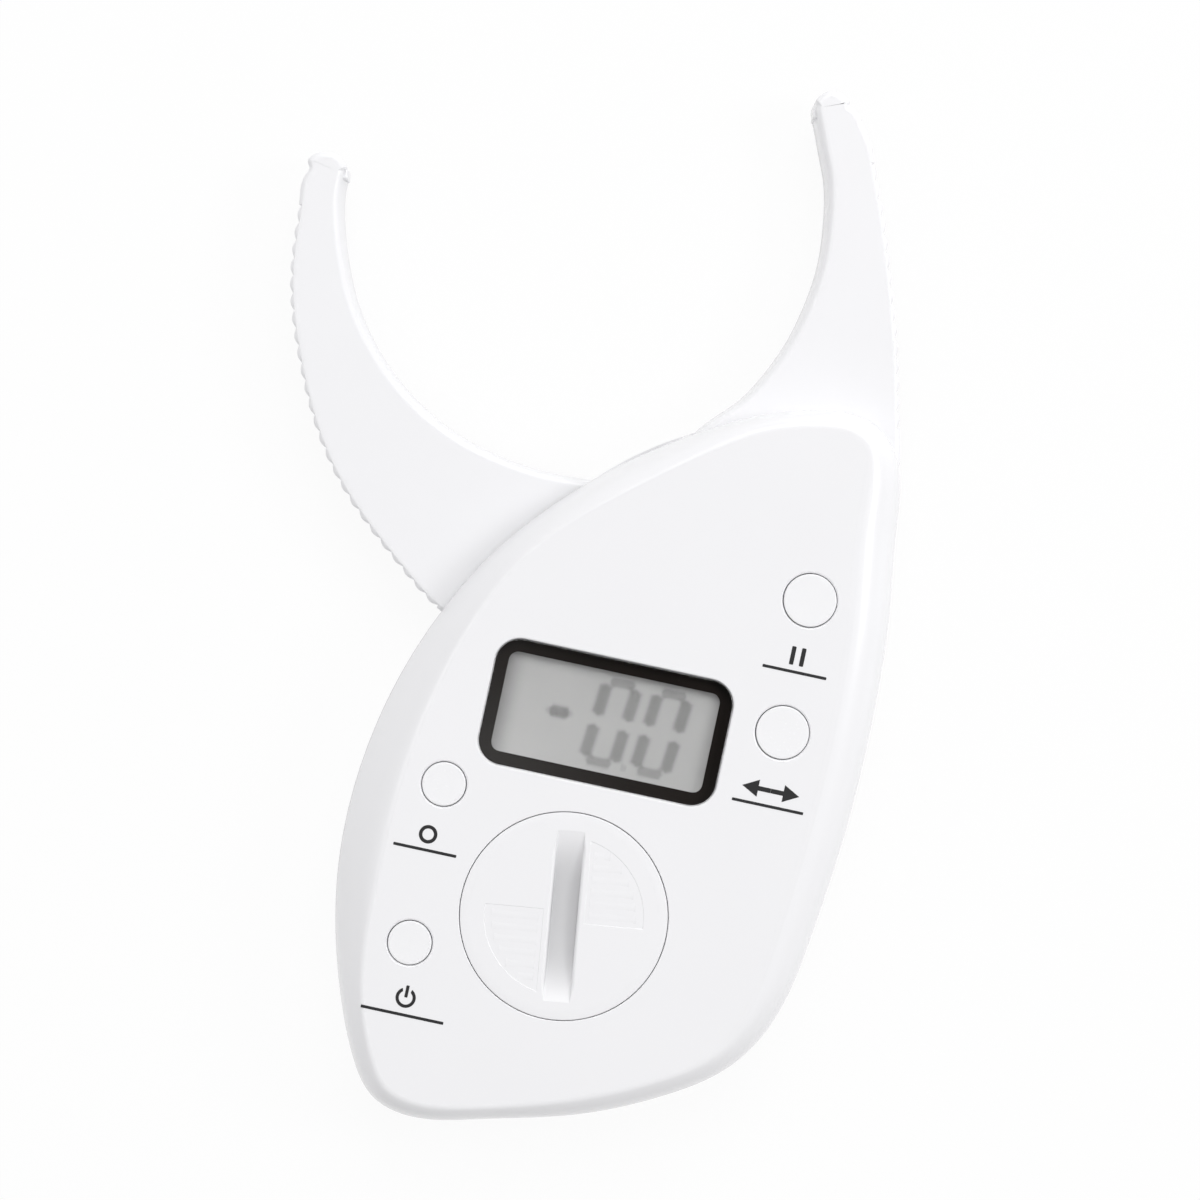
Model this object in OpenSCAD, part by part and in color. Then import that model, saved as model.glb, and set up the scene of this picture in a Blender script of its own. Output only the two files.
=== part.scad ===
// Digital skinfold caliper: a display housing with one fixed jaw and one sprung, pivoting jaw.
// Millimetres. The caliper lies on its back: +Z leaves the front face, +Y points to the jaws,
// and the origin is on the jaw's pivot axis at the rear face.

/* [Housing] */
// Length of the housing from its lower end to the fixed jaw's shoulder; all places follow it
housing_length = 98.4; // [96:0.1:101]
// Width of the housing across its widest part; all places follow it
housing_width = 62.5; // [61:0.1:64]
// Depth of the housing from the rear face to the front face
housing_depth = 16; // [15.8:0.1:17]
// Height of the seam between the two covers
seam_height = 6; // [5.6:0.1:6.4]
// Wall thickness of both covers
wall = 1.8; // [1.6:0.1:2]
// Rounding of the rear cover's outer edge
rear_edge = 1.6; // [1:0.1:2]
// Reach of the shaped front edge, as a factor on the width given with each outline point
front_edge_factor = 1; // [0.9:0.05:1.1]

/* [Jaws] */
// Thickness of both jaws
jaw_thickness = 5.7; // [5.4:0.1:5.8]
// Height of the jaws' rear faces over the housing's rear face
jaw_bottom = 3; // [2.9:0.05:3.1]
// Gap between the moving jaw and the slot that it swings in
jaw_gap = 0.3; // [0.2:0.05:0.35]
// Angle from open jaws to closed jaws
jaw_travel = 56.6; // [40:0.1:56.6]
// Width of the bevel along the jaws' front edges
jaw_bevel = 0.55; // [0.4:0.05:0.8]
// Draft of the jaws' inner walls: how far they draw back from the rear face to the front
jaw_draft = 0.5; // [0:0.05:0.6]
// Length of one finger scallop on the jaws' outer edges
scallop_pitch = 2.26; // [1.8:0.02:3]
// Depth of the finger scallops
scallop_depth = 0.38; // [0.15:0.01:0.45]
// Length of the contact pad inside each jaw's tip
pad_length = 1.4; // [1:0.1:1.8]
// Height of the contact pads over the inner walls
pad_rise = 0.15; // [0.05:0.05:0.15]

/* [Pivot] */
// Radius of the moving jaw's hub
hub_radius = 11; // [10.6:0.1:11.2]
// Radius of the pivot post
post_radius = 3; // [2.8:0.1:3.2]
// Radial running clearance between the post and the hub
pivot_clearance = 0.05; // [0.02:0.01:0.09]
// Radius of the retaining washer
washer_radius = 5; // [4.6:0.1:5.2]
// Wire diameter of the opening spring
spring_wire = 0.7; // [0.5:0.05:0.75]
// Mean radius of the opening spring
spring_radius = 5.7; // [5.6:0.05:5.8]
// Number of turns of the opening spring
spring_turns = 2.25; // [2.25:1:2.25]
// Rise of the opening spring per turn
spring_pitch = 1.25; // [1.2:0.05:1.3]

/* [Display] */
// Width of the display window
window_width = 30.1; // [29.5:0.1:30.5]
// Height of the display window
window_height = 15.85; // [15.5:0.05:16.2]
// Corner radius of the display window
window_corner = 3.1; // [2.5:0.1:3.5]
// Thickness of the display window
window_thickness = 1.3; // [1.2:0.05:1.4]
// Width of the dark border printed under the window
window_border = 1.6; // [1.4:0.05:1.8]
// Distance of the display's centre below the pivot
display_drop = 20.2; // [20:0.1:20.4]
// Height of the display's digits, as a share of the height that shows
digit_share = 0.765; // [0.65:0.005:0.8]

/* [Buttons] */
// Diameter of the two buttons on the right
large_button = 6.6; // [6:0.1:6.8]
// Diameter of the two buttons on the left
small_button = 5.45; // [5:0.05:5.7]
// Travel of every button
button_travel = 0.5; // [0.3:0.05:0.6]
// Gap around every button
button_gap = 0.15; // [0.12:0.01:0.25]
// Height of the buttons over the front face
button_rise = 0.15; // [0.05:0.05:0.4]

/* [Battery] */
// Diameter of the coin cell
cell_diameter = 20; // [19.6:0.1:20.2]
// Thickness of the coin cell
cell_thickness = 3.2; // [3:0.05:3.2]
// How far the battery cap reaches out past the coin cell
cap_overhang = 2.95; // [2.8:0.05:3.1]
// Gap around the battery cap
cap_gap = 0.15; // [0.12:0.01:0.2]
// Distance of the battery's centre below the pivot
cell_drop = 44.9; // [44.7:0.1:45.1]
// Length of the coin slot in the cap
coin_slot_length = 21.4; // [20:0.1:22]
// Width of the coin slot
coin_slot_width = 3; // [2.4:0.1:3.2]
// Depth of the coin slot at its middle
coin_slot_depth = 1.4; // [1.1:0.05:1.4]
// Width of the bevel along the coin slot
coin_slot_rim = 0.4; // [0.2:0.05:0.5]
// Angle that the cap turns to come free
cap_travel = 60; // [50:5:60]

/* [Fasteners] */
// Shank diameter of the case screws
case_screw = 2.2; // [2:0.1:2.4]
// Shank diameter of the board screws
board_screw = 1.6; // [1.4:0.1:1.7]

/* [Hidden] */
// Housing outline, anticlockwise from the fixed jaw's outer corner: x, y, width of the shaped
// front edge, its form (0 is a flat bevel, 1 a full round), and how far the rear cover stands
// out under it, which it does in the throat between the jaws
outline = [
    [29.7, 18.4, 4.6, 1, 0], [27.6, 21.9, 3.6, 1, 0], [23.4, 24.1, 2.8, 1, 0], [18.0, 23.8, 2.5, 1, 0],
    [10.6, 21.5, 2.5, 1, 0], [2.9, 17.3, 2.9, 0.8, 0.45], [-4.8, 11.9, 3.3, 0.6, 0.45],
    [-11.7, 5.6, 3.1, 0.5, 0], [-17.8, -1.6, 3.2, 0.45, 0], [-22.8, -10.2, 4.1, 0.45, 0],
    [-26.5, -19.6, 5.1, 0.45, 0], [-28.8, -29.8, 5.7, 0.45, 0], [-29.5, -40.4, 5.8, 0.5, 0],
    [-28.5, -50.2, 4.9, 0.5, 0], [-25.7, -60.6, 3.3, 0.6, 0], [-22.5, -68.2, 3.0, 0.7, 0],
    [-18.9, -72.8, 3.0, 0.8, 0], [-13.7, -74.3, 2.8, 0.8, 0], [-5.0, -72.8, 2.4, 0.8, 0],
    [6.8, -69.7, 2.9, 0.8, 0], [17.6, -64.8, 3.0, 0.8, 0], [24.8, -59.4, 3.3, 0.9, 0],
    [28.9, -52.4, 4.2, 1, 0], [31.2, -41.3, 4.8, 1, 0], [32.6, -28.0, 5.1, 1, 0],
    [33.0, -12.4, 5.3, 1, 0], [32.2, 1.2, 5.4, 1, 0], [30.9, 11.0, 5.3, 1, 0]];
// Points between two neighbours of the outline
outline_steps = 5;
// The moving jaw's outer edge from the hub to the tip, when open
moving_outer = [
    [-4.0, -9.6], [-10.5, -11.9], [-17.0, -12.6], [-23.3, -11.1], [-29.2, -7.1], [-34.3, -2.9],
    [-39.4, 2.1], [-44.4, 9.3], [-47.8, 16.4], [-50.4, 23.7], [-51.6, 31.3], [-51.9, 36.2],
    [-51.8, 39.5], [-51.55, 40.4], [-51.9, 41.2], [-51.3, 42.2], [-50.3, 42.75], [-49.4, 42.87]];
// The moving jaw's inner edge from the hub to the tip, when open
moving_inner = [
    [1.6, 10.3], [-5.0, 9.7], [-12.0, 9.2], [-18.4, 9.6], [-24.25, 10.9], [-28.35, 12.5],
    [-34.55, 16.4], [-39.0, 20.75], [-42.2, 25.3], [-44.45, 30.15], [-46.05, 35.0],
    [-46.75, 39.6], [-46.85, 41.2], [-47.4, 42.1], [-48.3, 42.7]];
// The fixed jaw's outer edge from the housing to the tip
fixed_outer = [
    [28.0, 13.0], [29.7, 18.6], [29.05, 22.55], [27.9, 27.55], [26.75, 32.4], [25.3, 37.35],
    [23.75, 42.25], [22.1, 47.1], [20.3, 51.9], [18.25, 56.8], [17.3, 58.8], [15.8, 60.95],
    [14.5, 62.25], [13.85, 62.6], [13.8, 62.95], [13.3, 63.4], [12.4, 63.85], [11.7, 63.95]];
// The fixed jaw's inner edge from the housing to the tip
fixed_inner = [
    [9.6, 13.0], [3.2, 17.0], [7.8, 23.0], [9.9, 26.2], [12.45, 32.0], [13.75, 37.45],
    [14.25, 42.0], [13.85, 47.95], [12.6, 53.5], [11.5, 56.1], [10.3, 59.0], [9.6, 60.6],
    [9.35, 61.6], [9.5, 62.3], [10.0, 63.1], [10.8, 63.75]];
// Stations in one scallop; the whole jaw has them at that spacing
scallop_steps = 5;
// Where the scallops start and end, as shares of the outer edge's length
moving_scallops = [0.2932, 0.8953];
fixed_scallops = [0.205, 0.81];
// Share of the inner edges' length from which the round tips stand upright, without draft
tip_start = 0.965;
// Middle of each contact pad's face, and the angle that it faces
moving_pad = [-46.65, 40.75, 8];
fixed_pad = [9.55, 60.75, 190];

// Factor by which every place follows the housing's width and length
plan_fit = [housing_width / 62.5, housing_length / 98.4];

// Heights of the stack inside the housing
front = housing_depth;
ceiling = front - wall;
floor_top = wall;
jaw_top = jaw_bottom + jaw_thickness;
slot_bottom = jaw_bottom - jaw_gap;
slot_top = jaw_top + jaw_gap;
edge_start = slot_top + 0.2;
board_bottom = jaw_top + 1;
board_thickness = 1;
board_top = board_bottom + board_thickness;
copper = 0.1;
rotor_thickness = 0.55;
rotor_outer = 9.1;
rotor_inner = 6.3;
board_lobe = 9.3;

// Display sizes
display_y = -display_drop * plan_fit.y;
ledge_top = front - window_thickness - copper;
ledge_bottom = ledge_top - 0.8;
view_width = window_width - 2 * window_border + 0.3;
view_height = window_height - 2 * window_border + 0.3;
digit_height = view_height * digit_share;
rim = 1.6;
glass_width = window_width - 0.6;
glass_height = window_height - 0.4;
glass_thickness = 1.8;
glass_top = ledge_bottom - 0.1;
glass_bottom = glass_top - glass_thickness;
frame_wall = 1;
strip_width = 1.6;

// Buttons: x, y and diameter of each, with the drop of its printed bar and the bar's length
hold_at = placed([21.7, 0]);
unit_at = placed([21.8, -16.8]);
zero_at = placed([-18.05, -31.95]);
power_at = placed([-18.05, -52.15]);
flange = 0.9;
flange_lip = 0.8;
seat_gap = 0.05;
switch_size = 6;
plunger_radius = 1.7;
plunger_gap = 0.1;
plunger_rise = button_travel + 0.15;
switch_top = board_top + 1.5;
ink = 0.05;

// Battery sizes
cell_centre = placed([0, -cell_drop]);
spring_leaf = 0.2;
cell_bottom = board_top + spring_leaf;
cell_top = cell_bottom + cell_thickness;
cap_plate = 1.1;
cap_plate_bottom = front - cap_plate;
cap_radius = cell_diameter / 2 + cap_overhang;
skirt_inner = cell_diameter / 2 + 0.5;
skirt_outer = skirt_inner + 1.2;
skirt_bottom = board_top + 1.9;
lug_reach = 0.9;
lug_height = 0.9;
lug_angle = 30;
ledge_ring_top = cap_plate_bottom - 0.1;
ledge_ring_bottom = ledge_ring_top - 1;
ledge_hole = skirt_outer + 0.3;
coin_slot_angle = 97;
coin_slot_round = (pow(coin_slot_length / 2, 2) + pow(coin_slot_depth, 2)) / (2 * coin_slot_depth);
grip_radius = cap_radius - 2.85;
grip_recess = 0.15;
grip_pitch = 1.5;

// Pivot sizes
seat_radius = post_radius + 1.2;
bore_radius = post_radius + pivot_clearance;
turn_steps = 8;
pocket_inner = spring_radius * cos(180 / turn_steps) - spring_wire / 2 - 0.2;
pocket_outer = spring_radius + spring_wire / 2 + 0.45;
spring_start = floor_top + spring_wire / 2 + 0.05;
spring_height = spring_turns * spring_pitch;
pocket_top = spring_start + spring_height + spring_wire / 2 + 0.4;
hub_recess = washer_radius + 0.6;
hub_recess_floor = jaw_top - 1.4;
post_top = hub_recess_floor + 0.05;
washer_thickness = 0.5;
pivot_head_radius = 2.6;
pivot_head_height = 1;
pivot_shank = 1;

// Screws: centre of each case screw and each board screw
case_screws_at = placed_all([[25.6, 8.6], [-21.6, -21.2], [22.8, -49.6], [-16.6, -65.6]]);
board_screws_at = placed_all([[14.2, 3.2], [20.0, -30.6], [-19.6, -44.2], [-9.2, -8.2]]);
boss_radius = 3;
case_head_radius = 2.1;
case_head_height = 1.4;
case_head_sink = 0.3;
case_shank_length = 7.5;
case_shank_top = case_head_sink + case_head_height + case_shank_length;
thread_gap = 0.05;
board_head_height = 0.9;
board_head_radius = 1.5;
board_grip = 2.6;
post_foot = 2;

// Outline of the circuit board beside its round end about the pivot
board_outline = placed_all([
    [-8.9, -2], [-12.4, -8.2], [-17.2, -16.8], [-17.4, -25.2], [-22.6, -28.4], [-22.8, -40],
    [-21.9, -55.4], [-13, -57.6], [12.4, -57.6], [16, -46], [24.4, -32], [26.4, -18], [26.6, -4],
    [26, 4.4], [8.6, 4.6]]);

// Printed marks: centre and length of the bar under each button, and the bars' width
hold_bar = placed([21.65, -9.12, 8.1]);
unit_bar = placed([21.9, -26.15, 9.05]);
zero_bar = placed([-18.65, -40.45, 8]);
power_bar = placed([-17.1, -61.1, 10.5]);
bar_width = 0.36;

// Region of the side walls that the moving jaw swings through
swing_outline = [[-44, 0], [-33, -5.2], [-26.3, -9.95], [-23.2, -11.7], [-19, -13.4], [2, 8], [2, 30],
    [-30, 30]];
// Outline of the block that carries the fixed jaw inside the housing
block_outline = [[3.1, 18], [3.6, 16], [8.8, 12], [29.2, 12], [30.4, 18.5], [30, 30], [3.1, 30]];

// Curves -------------------------------------------------------------------------------------

// A place on the plan that follows the housing's width and length; more values go along
function placed(p) = [p.x * plan_fit.x, p.y * plan_fit.y, for (i = [2 : 1 : len(p) - 1]) p[i]];

// A list of such places
function placed_all(list) = [for (p = list) placed(p)];

// One point of a smooth curve between p1 and p2
function curve_point(p0, p1, p2, p3, t) =
    0.5 * (2 * p1 + (p2 - p0) * t + (2 * p0 - 5 * p1 + 4 * p2 - p3) * t * t
    + (3 * p1 - p0 - 3 * p2 + p3) * t * t * t);

// A closed smooth curve through the given points
function closed_curve(p, steps) =
    let (n = len(p))
    [for (i = [0 : n - 1], j = [0 : steps - 1])
        curve_point(p[(i + n - 1) % n], p[i], p[(i + 1) % n], p[(i + 2) % n], j / steps)];

// An open smooth curve through the given points
function open_curve(p, steps) =
    let (n = len(p))
    [for (i = [0 : n - 2], j = [0 : steps - 1])
        curve_point(p[max(i - 1, 0)], p[i], p[i + 1], p[min(i + 2, n - 1)], j / steps), p[n - 1]];

// Length of a polyline up to each of its points
function run_lengths(p, i = 0, sum = 0) =
    i >= len(p) ? [] :
    let (s = i == 0 ? 0 : sum + norm(p[i] - p[i - 1]))
    concat([s], run_lengths(p, i + 1, s));

// The polyline again with evenly spaced points
function even_points(p, count) =
    let (s = run_lengths(p), total = s[len(s) - 1])
    let (tx = [for (i = [0 : len(p) - 1]) [s[i], p[i].x]])
    let (ty = [for (i = [0 : len(p) - 1]) [s[i], p[i].y]])
    [for (i = [0 : count - 1]) let (d = total * i / (count - 1)) [lookup(d, tx), lookup(d, ty)]];

// Unit vector to the right of the path at point i
function side(p, i, closed) =
    let (n = len(p))
    let (a = closed ? p[(i + n - 1) % n] : p[max(i - 1, 0)])
    let (b = closed ? p[(i + 1) % n] : p[min(i + 1, n - 1)])
    let (d = [b.x - a.x, b.y - a.y])
    [d.y, -d.x] / norm(d);

// Housing rings ------------------------------------------------------------------------------

ring = closed_curve(placed_all(outline), outline_steps);
ring_count = len(ring);
ring_side = [for (i = [0 : ring_count - 1]) side(ring, i, true)];

// Ring drawn in from the outline by a fixed distance, at one height
function level_ring(inset, z) =
    [for (i = [0 : ring_count - 1])
        [ring[i].x - ring_side[i].x * inset, ring[i].y - ring_side[i].y * inset, z]];

// Ring drawn in by the local edge width plus a margin, at one height
function crease_ring(margin, z) =
    [for (i = [0 : ring_count - 1])
        let (w = ring[i][2] * front_edge_factor + margin)
        [ring[i].x - ring_side[i].x * w, ring[i].y - ring_side[i].y * w, z]];

// Ring at share t of the shaped edge, from its foot (0) to the front face (1)
function edge_ring(t) =
    [for (i = [0 : ring_count - 1])
        let (w = ring[i][2] * front_edge_factor, s = ring[i][3])
        let (in = w * (t + s * (1 - cos(90 * t) - t)))
        let (up = t + s * (sin(90 * t) - t))
        [ring[i].x - ring_side[i].x * in, ring[i].y - ring_side[i].y * in,
            edge_start + (front - edge_start) * up]];

// A closed body through rings of equal length, with a fan at each end about the point c
module ring_body(rings, c) {
    n = len(rings[0]);
    m = len(rings);
    points = concat([for (r = rings, p = r) p],
        [[c.x, c.y, rings[0][0].z], [c.x, c.y, rings[m - 1][0].z]]);
    sides = [for (k = [0 : m - 2], i = [0 : n - 1], h = [0, 1])
        let (j = (i + 1) % n)
        h == 0 ? [k * n + i, (k + 1) * n + i, (k + 1) * n + j] : [k * n + i, (k + 1) * n + j, k * n + j]];
    ends = [for (i = [0 : n - 1], h = [0, 1])
        let (j = (i + 1) % n)
        h == 0 ? [m * n, i, j] : [m * n + 1, (m - 1) * n + j, (m - 1) * n + i]];
    polyhedron(points, concat(sides, ends));
}

housing_middle = placed([2, -30]);

// Outer form of the front cover
module front_form() {
    ring_body([level_ring(0, seam_height), for (t = [0 : 0.2 : 1.01]) edge_ring(min(t, 1))],
        housing_middle);
}

// Space inside the front cover, cut off flat at the ceiling
module front_space() {
    intersection() {
        ring_body([level_ring(wall, seam_height - 1), level_ring(wall + 0.3, edge_start),
            crease_ring(0.65, ceiling + 0.1)], housing_middle);
        translate([-housing_width, -housing_length, seam_height - 2])
            cube([2 * housing_width, 2 * housing_length, ceiling - seam_height + 2]);
    }
}

// Limit for bosses and posts, just inside the front cover's skin
module front_core() {
    ring_body([level_ring(0.8, seam_height - 4), level_ring(0.9, edge_start),
        crease_ring(0.3, front - 0.9)], housing_middle);
}

// Ring of the rear cover, which stands out in the throat, at one height
function rear_ring(inset, z) =
    [for (i = [0 : ring_count - 1])
        let (d = inset - max(ring[i][4], 0))
        [ring[i].x - ring_side[i].x * d, ring[i].y - ring_side[i].y * d, z]];

// Outer form of the rear cover
module rear_form() {
    ring_body([rear_ring(rear_edge, 0), rear_ring(rear_edge * 0.3, rear_edge * 0.3),
        rear_ring(0, rear_edge), rear_ring(0, slot_bottom), level_ring(0, seam_height - 0.4),
        level_ring(0, seam_height)], housing_middle);
}

// Space inside the rear cover
module rear_space() {
    ring_body([level_ring(wall + 0.6, floor_top), level_ring(wall, floor_top + 1),
        level_ring(wall, seam_height + 1)], housing_middle);
}

// Jaws ---------------------------------------------------------------------------------------

// Depth of the scallops at station i, where they run from the first to the last station
function scallop(i, first, last) =
    i < first || i > last ? 0 : scallop_depth * (1 - abs(sin(180 * (i - first) / scallop_steps)));

// Share of the draft that the inner wall has at share t of its length
function drafted(t) = max(0, min(1, (tip_start - t) * 100));

// Outline of a jaw drawn in by the inset, with the given shares of the scallops and of the draft
function jaw_ring(outer, inner, inset, scallops, draft, first, last, turn, z) =
    let (p = concat(outer, [for (i = [len(inner) - 1 : -1 : 0]) inner[i]]))
    let (n = len(outer))
    [for (i = [0 : len(p) - 1])
        let (s = side(p, i, false) * turn)
        let (own = i < n ? scallops * scallop(i, first, last)
            : draft * jaw_draft * drafted((2 * n - 1 - i) / (n - 1)))
        [p[i].x - s.x * (inset + own), p[i].y - s.y * (inset + own), z]];

// A jaw as a flat body between its outer and its inner edge, bevelled front and back
module jaw_body(outer_points, inner_points, span, turn) {
    outer_curve = open_curve(placed_all(outer_points), 8);
    lengths = run_lengths(outer_curve);
    steps = round(lengths[len(lengths) - 1] / scallop_pitch * scallop_steps);
    outer = even_points(outer_curve, steps + 1);
    inner = even_points(open_curve(placed_all(inner_points), 8), steps + 1);
    first = round(span[0] * steps);
    last = first + scallop_steps * round((span[1] - span[0]) * steps / scallop_steps);
    rings = [
        jaw_ring(outer, inner, 0.5, 0, 0, first, last, turn, jaw_bottom),
        jaw_ring(outer, inner, 0, 1, 0, first, last, turn, jaw_bottom + 0.5),
        jaw_ring(outer, inner, 0, 1, 1, first, last, turn, jaw_top - jaw_bevel * 0.8),
        jaw_ring(outer, inner, jaw_bevel, 0, 1, first, last, turn, jaw_top)];
    n = len(rings[0]);
    m = len(rings);
    sides = [for (k = [0 : m - 2], i = [0 : n - 1], h = [0, 1])
        let (j = (i + 1) % n)
        h == 0 ? [k * n + i, (k + 1) * n + i, (k + 1) * n + j] : [k * n + i, (k + 1) * n + j, k * n + j]];
    ends = [for (i = [0 : steps - 1], f = [0 : 3])
        let (a = i, b = i + 1, c = n - 2 - i, d = n - 1 - i, t = (m - 1) * n)
        f == 0 ? [a, b, c] : f == 1 ? [a, c, d] : f == 2 ? [t + a, t + c, t + b] : [t + a, t + d, t + c]];
    polyhedron([for (r = rings, p = r) p],
        [for (f = concat(sides, ends)) turn > 0 ? f : [f[0], f[2], f[1]]]);
}

// Pad on the inner wall of a jaw's tip, which holds the skin fold: x, y and angle of its face
module contact_pad(pad) {
    place = placed(pad);
    translate([place.x, place.y, jaw_bottom + 0.3]) rotate(place[2])
        translate([pad_rise - 1.35, -pad_length / 2, 0]) cube([1.2, pad_length, jaw_thickness - 1.5]);
}

// Region of the side walls that the moving jaw swings through
module swing_region() {
    polygon(placed_all(swing_outline));
}

// Block that carries the fixed jaw inside the housing, or the wider space left for it
module jaw_block(margin) {
    middle = placed([16, 21]);
    polygon([for (p = placed_all(block_outline))
        [p.x + margin * sign(p.x - middle.x), p.y + margin * sign(p.y - middle.y)]]);
}

// Covers -------------------------------------------------------------------------------------

// Flat rounded rectangle about the origin
module rounded(w, h, r) {
    square([w - 2 * r, h], center = true);
    square([w, h - 2 * r], center = true);
    for (x = [-1, 1], y = [-1, 1]) {
        translate([x * (w / 2 - r), y * (h / 2 - r)]) circle(r, $fn = 48);
    }
}

// Tube from z1 to z2
module tube(ro, ri, z1, z2) {
    translate([0, 0, z1]) difference() {
        cylinder(h = z2 - z1, r = ro, $fn = 64);
        translate([0, 0, -1]) cylinder(h = z2 - z1 + 2, r = ri, $fn = 64);
    }
}

// Rod from z1 to z2
module rod(r, z1, z2) {
    translate([0, 0, z1]) cylinder(h = z2 - z1, r = r, $fn = 64);
}

// Round hole with a softened rim for a button of diameter d
module button_hole(at, d) {
    translate([at.x, at.y, 0]) {
        rod(d / 2 + button_gap, ceiling - 1, front + 1);
        translate([0, 0, front - 0.3])
            cylinder(h = 0.6, r1 = d / 2 + button_gap, r2 = d / 2 + button_gap + 0.6, $fn = 64);
    }
}

// Everything that stands on the inside of the front cover
module front_inside() {
    for (p = case_screws_at) {
        translate([p.x, p.y, 0]) rod(boss_radius, seam_height - 2, front);
    }
    for (p = board_screws_at) {
        translate([p.x, p.y, 0]) rod(post_foot, board_top, front);
    }
    translate([0, display_y, ledge_bottom]) linear_extrude(ceiling - ledge_bottom + 0.2)
        rounded(window_width + 2 * rim, window_height + 2 * rim, window_corner + rim);
    translate([cell_centre.x, cell_centre.y, 0]) rod(cap_radius + 1.6, ledge_ring_bottom, ceiling + 0.2);
}

module front_cover() {
    color([0.94, 0.945, 0.955]) difference() {
        union() {
            difference() {
                front_form();
                front_space();
            }
            intersection() {
                front_inside();
                front_core();
            }
            fixed_jaw();
        }
        translate([0, 0, seam_height - 1]) linear_extrude(slot_top - seam_height + 1) swing_region();
        translate([0, display_y, ledge_top]) linear_extrude(front - ledge_top + 1)
            rounded(window_width + 0.2, window_height + 0.2, window_corner + 0.1);
        translate([0, display_y, ledge_bottom - 1]) linear_extrude(3)
            rounded(view_width, view_height, window_corner - window_border + 0.15);
        button_hole(hold_at, large_button);
        button_hole(unit_at, large_button);
        button_hole(zero_at, small_button);
        button_hole(power_at, small_button);
        cap_seat();
        for (p = case_screws_at) {
            translate([p.x, p.y, 0]) rod(case_screw / 2 + thread_gap, seam_height - 3, case_shank_top + 0.2);
        }
        for (p = board_screws_at) {
            translate([p.x, p.y, 0]) rod(board_screw / 2 + thread_gap, board_top - 1, board_top + board_grip + 0.4);
        }
    }
}

// The fixed jaw with its block inside the housing
module fixed_jaw() {
    jaw_body(fixed_outer, fixed_inner, fixed_scallops, 1);
    contact_pad(fixed_pad);
    intersection() {
        translate([0, 0, jaw_bottom]) linear_extrude(slot_top - jaw_bottom + 0.2) jaw_block(0);
        ring_body([level_ring(wall * 0.5, 0), level_ring(wall * 0.5, front)], housing_middle);
    }
}

// Stepped hole for the battery cap, with three passages for its lugs
module cap_seat() {
    translate([cell_centre.x, cell_centre.y, 0]) {
        rod(cap_radius + cap_gap, ledge_ring_top, front + 1);
        rod(ledge_hole, ledge_ring_bottom - 1, ledge_ring_top + 0.5);
        translate([0, 0, front - 0.3])
            cylinder(h = 0.6, r1 = cap_radius + cap_gap, r2 = cap_radius + cap_gap + 0.6, $fn = 96);
        for (a = [0 : 120 : 359]) {
            rotate(a + cap_travel + coin_slot_angle - 60) translate([0, 0, ledge_ring_bottom - 1])
                linear_extrude(ledge_ring_top - ledge_ring_bottom + 1.5)
                lug_sector(skirt_outer + lug_reach + 0.3, lug_angle + 5);
        }
    }
}

// Sector of a disc about the X axis
module lug_sector(r, angle) {
    intersection() {
        circle(r, $fn = 96);
        polygon([[0, 0], [2 * r, -2 * r * tan(angle / 2)], [2 * r, 2 * r * tan(angle / 2)]]);
    }
}

module rear_cover() {
    color([0.93, 0.935, 0.945]) difference() {
        union() {
            difference() {
                rear_form();
                rear_space();
            }
            for (p = case_screws_at) {
                translate([p.x, p.y, 0]) rod(boss_radius, floor_top - 0.2, seam_height - 2);
            }
            rod(seat_radius, floor_top - 0.2, jaw_bottom);
            rod(post_radius, floor_top, post_top);
            stop_rib();
            spring_rib();
        }
        translate([0, 0, slot_bottom]) linear_extrude(seam_height) swing_region();
        translate([0, 0, jaw_bottom - 0.15]) linear_extrude(seam_height) jaw_block(0.15);
        rod(pivot_shank + thread_gap, jaw_bottom - 0.5, post_top + 1);
        for (p = case_screws_at) {
            translate([p.x, p.y, 0]) {
                rod(case_screw / 2 + 0.15, -1, seam_height);
                rod(case_head_radius + 0.15, -1, case_head_sink + case_head_height);
            }
        }
    }
}

// Rib on the rear cover that the open jaw rests against
module stop_rib() {
    place = placed([-17.2, -12.95]);
    translate([place.x, place.y, floor_top - 0.2])
        rotate(5) translate([0, -2.2, 0]) cube([5.6, 2.2, jaw_bottom + 3 - floor_top]);
}

// Rib on the rear cover that holds the spring's lower leg
module spring_rib() {
    rotate(-60) translate([spring_radius + 1.9, -2.2, floor_top - 0.2]) cube([1.2, 1.4, 1]);
}

// Moving jaw and its pivot -------------------------------------------------------------------

module moving_jaw() {
    color([0.94, 0.945, 0.955]) difference() {
        union() {
            jaw_body(moving_outer, moving_inner, moving_scallops, -1);
            contact_pad(moving_pad);
            rod(hub_radius, jaw_bottom, jaw_top);
        }
        rod(bore_radius, jaw_bottom - 1, jaw_top + 1);
        rod(hub_recess, hub_recess_floor, jaw_top + 1);
        tube(pocket_outer, pocket_inner, jaw_bottom - 1, pocket_top);
        rotate(spring_turns * 360 - 60) translate([0, -0.9, jaw_bottom - 1])
            intersection() {
                translate([spring_radius, 0, 0]) cube([4.2, 1.8, pocket_top - jaw_bottom + 1]);
                rod(hub_radius - 1.4, 0, pocket_top);
            }
    }
}

module pivot_washer() {
    color([0.72, 0.73, 0.75]) tube(washer_radius, pivot_shank + 0.1, post_top, post_top + washer_thickness);
}

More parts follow.
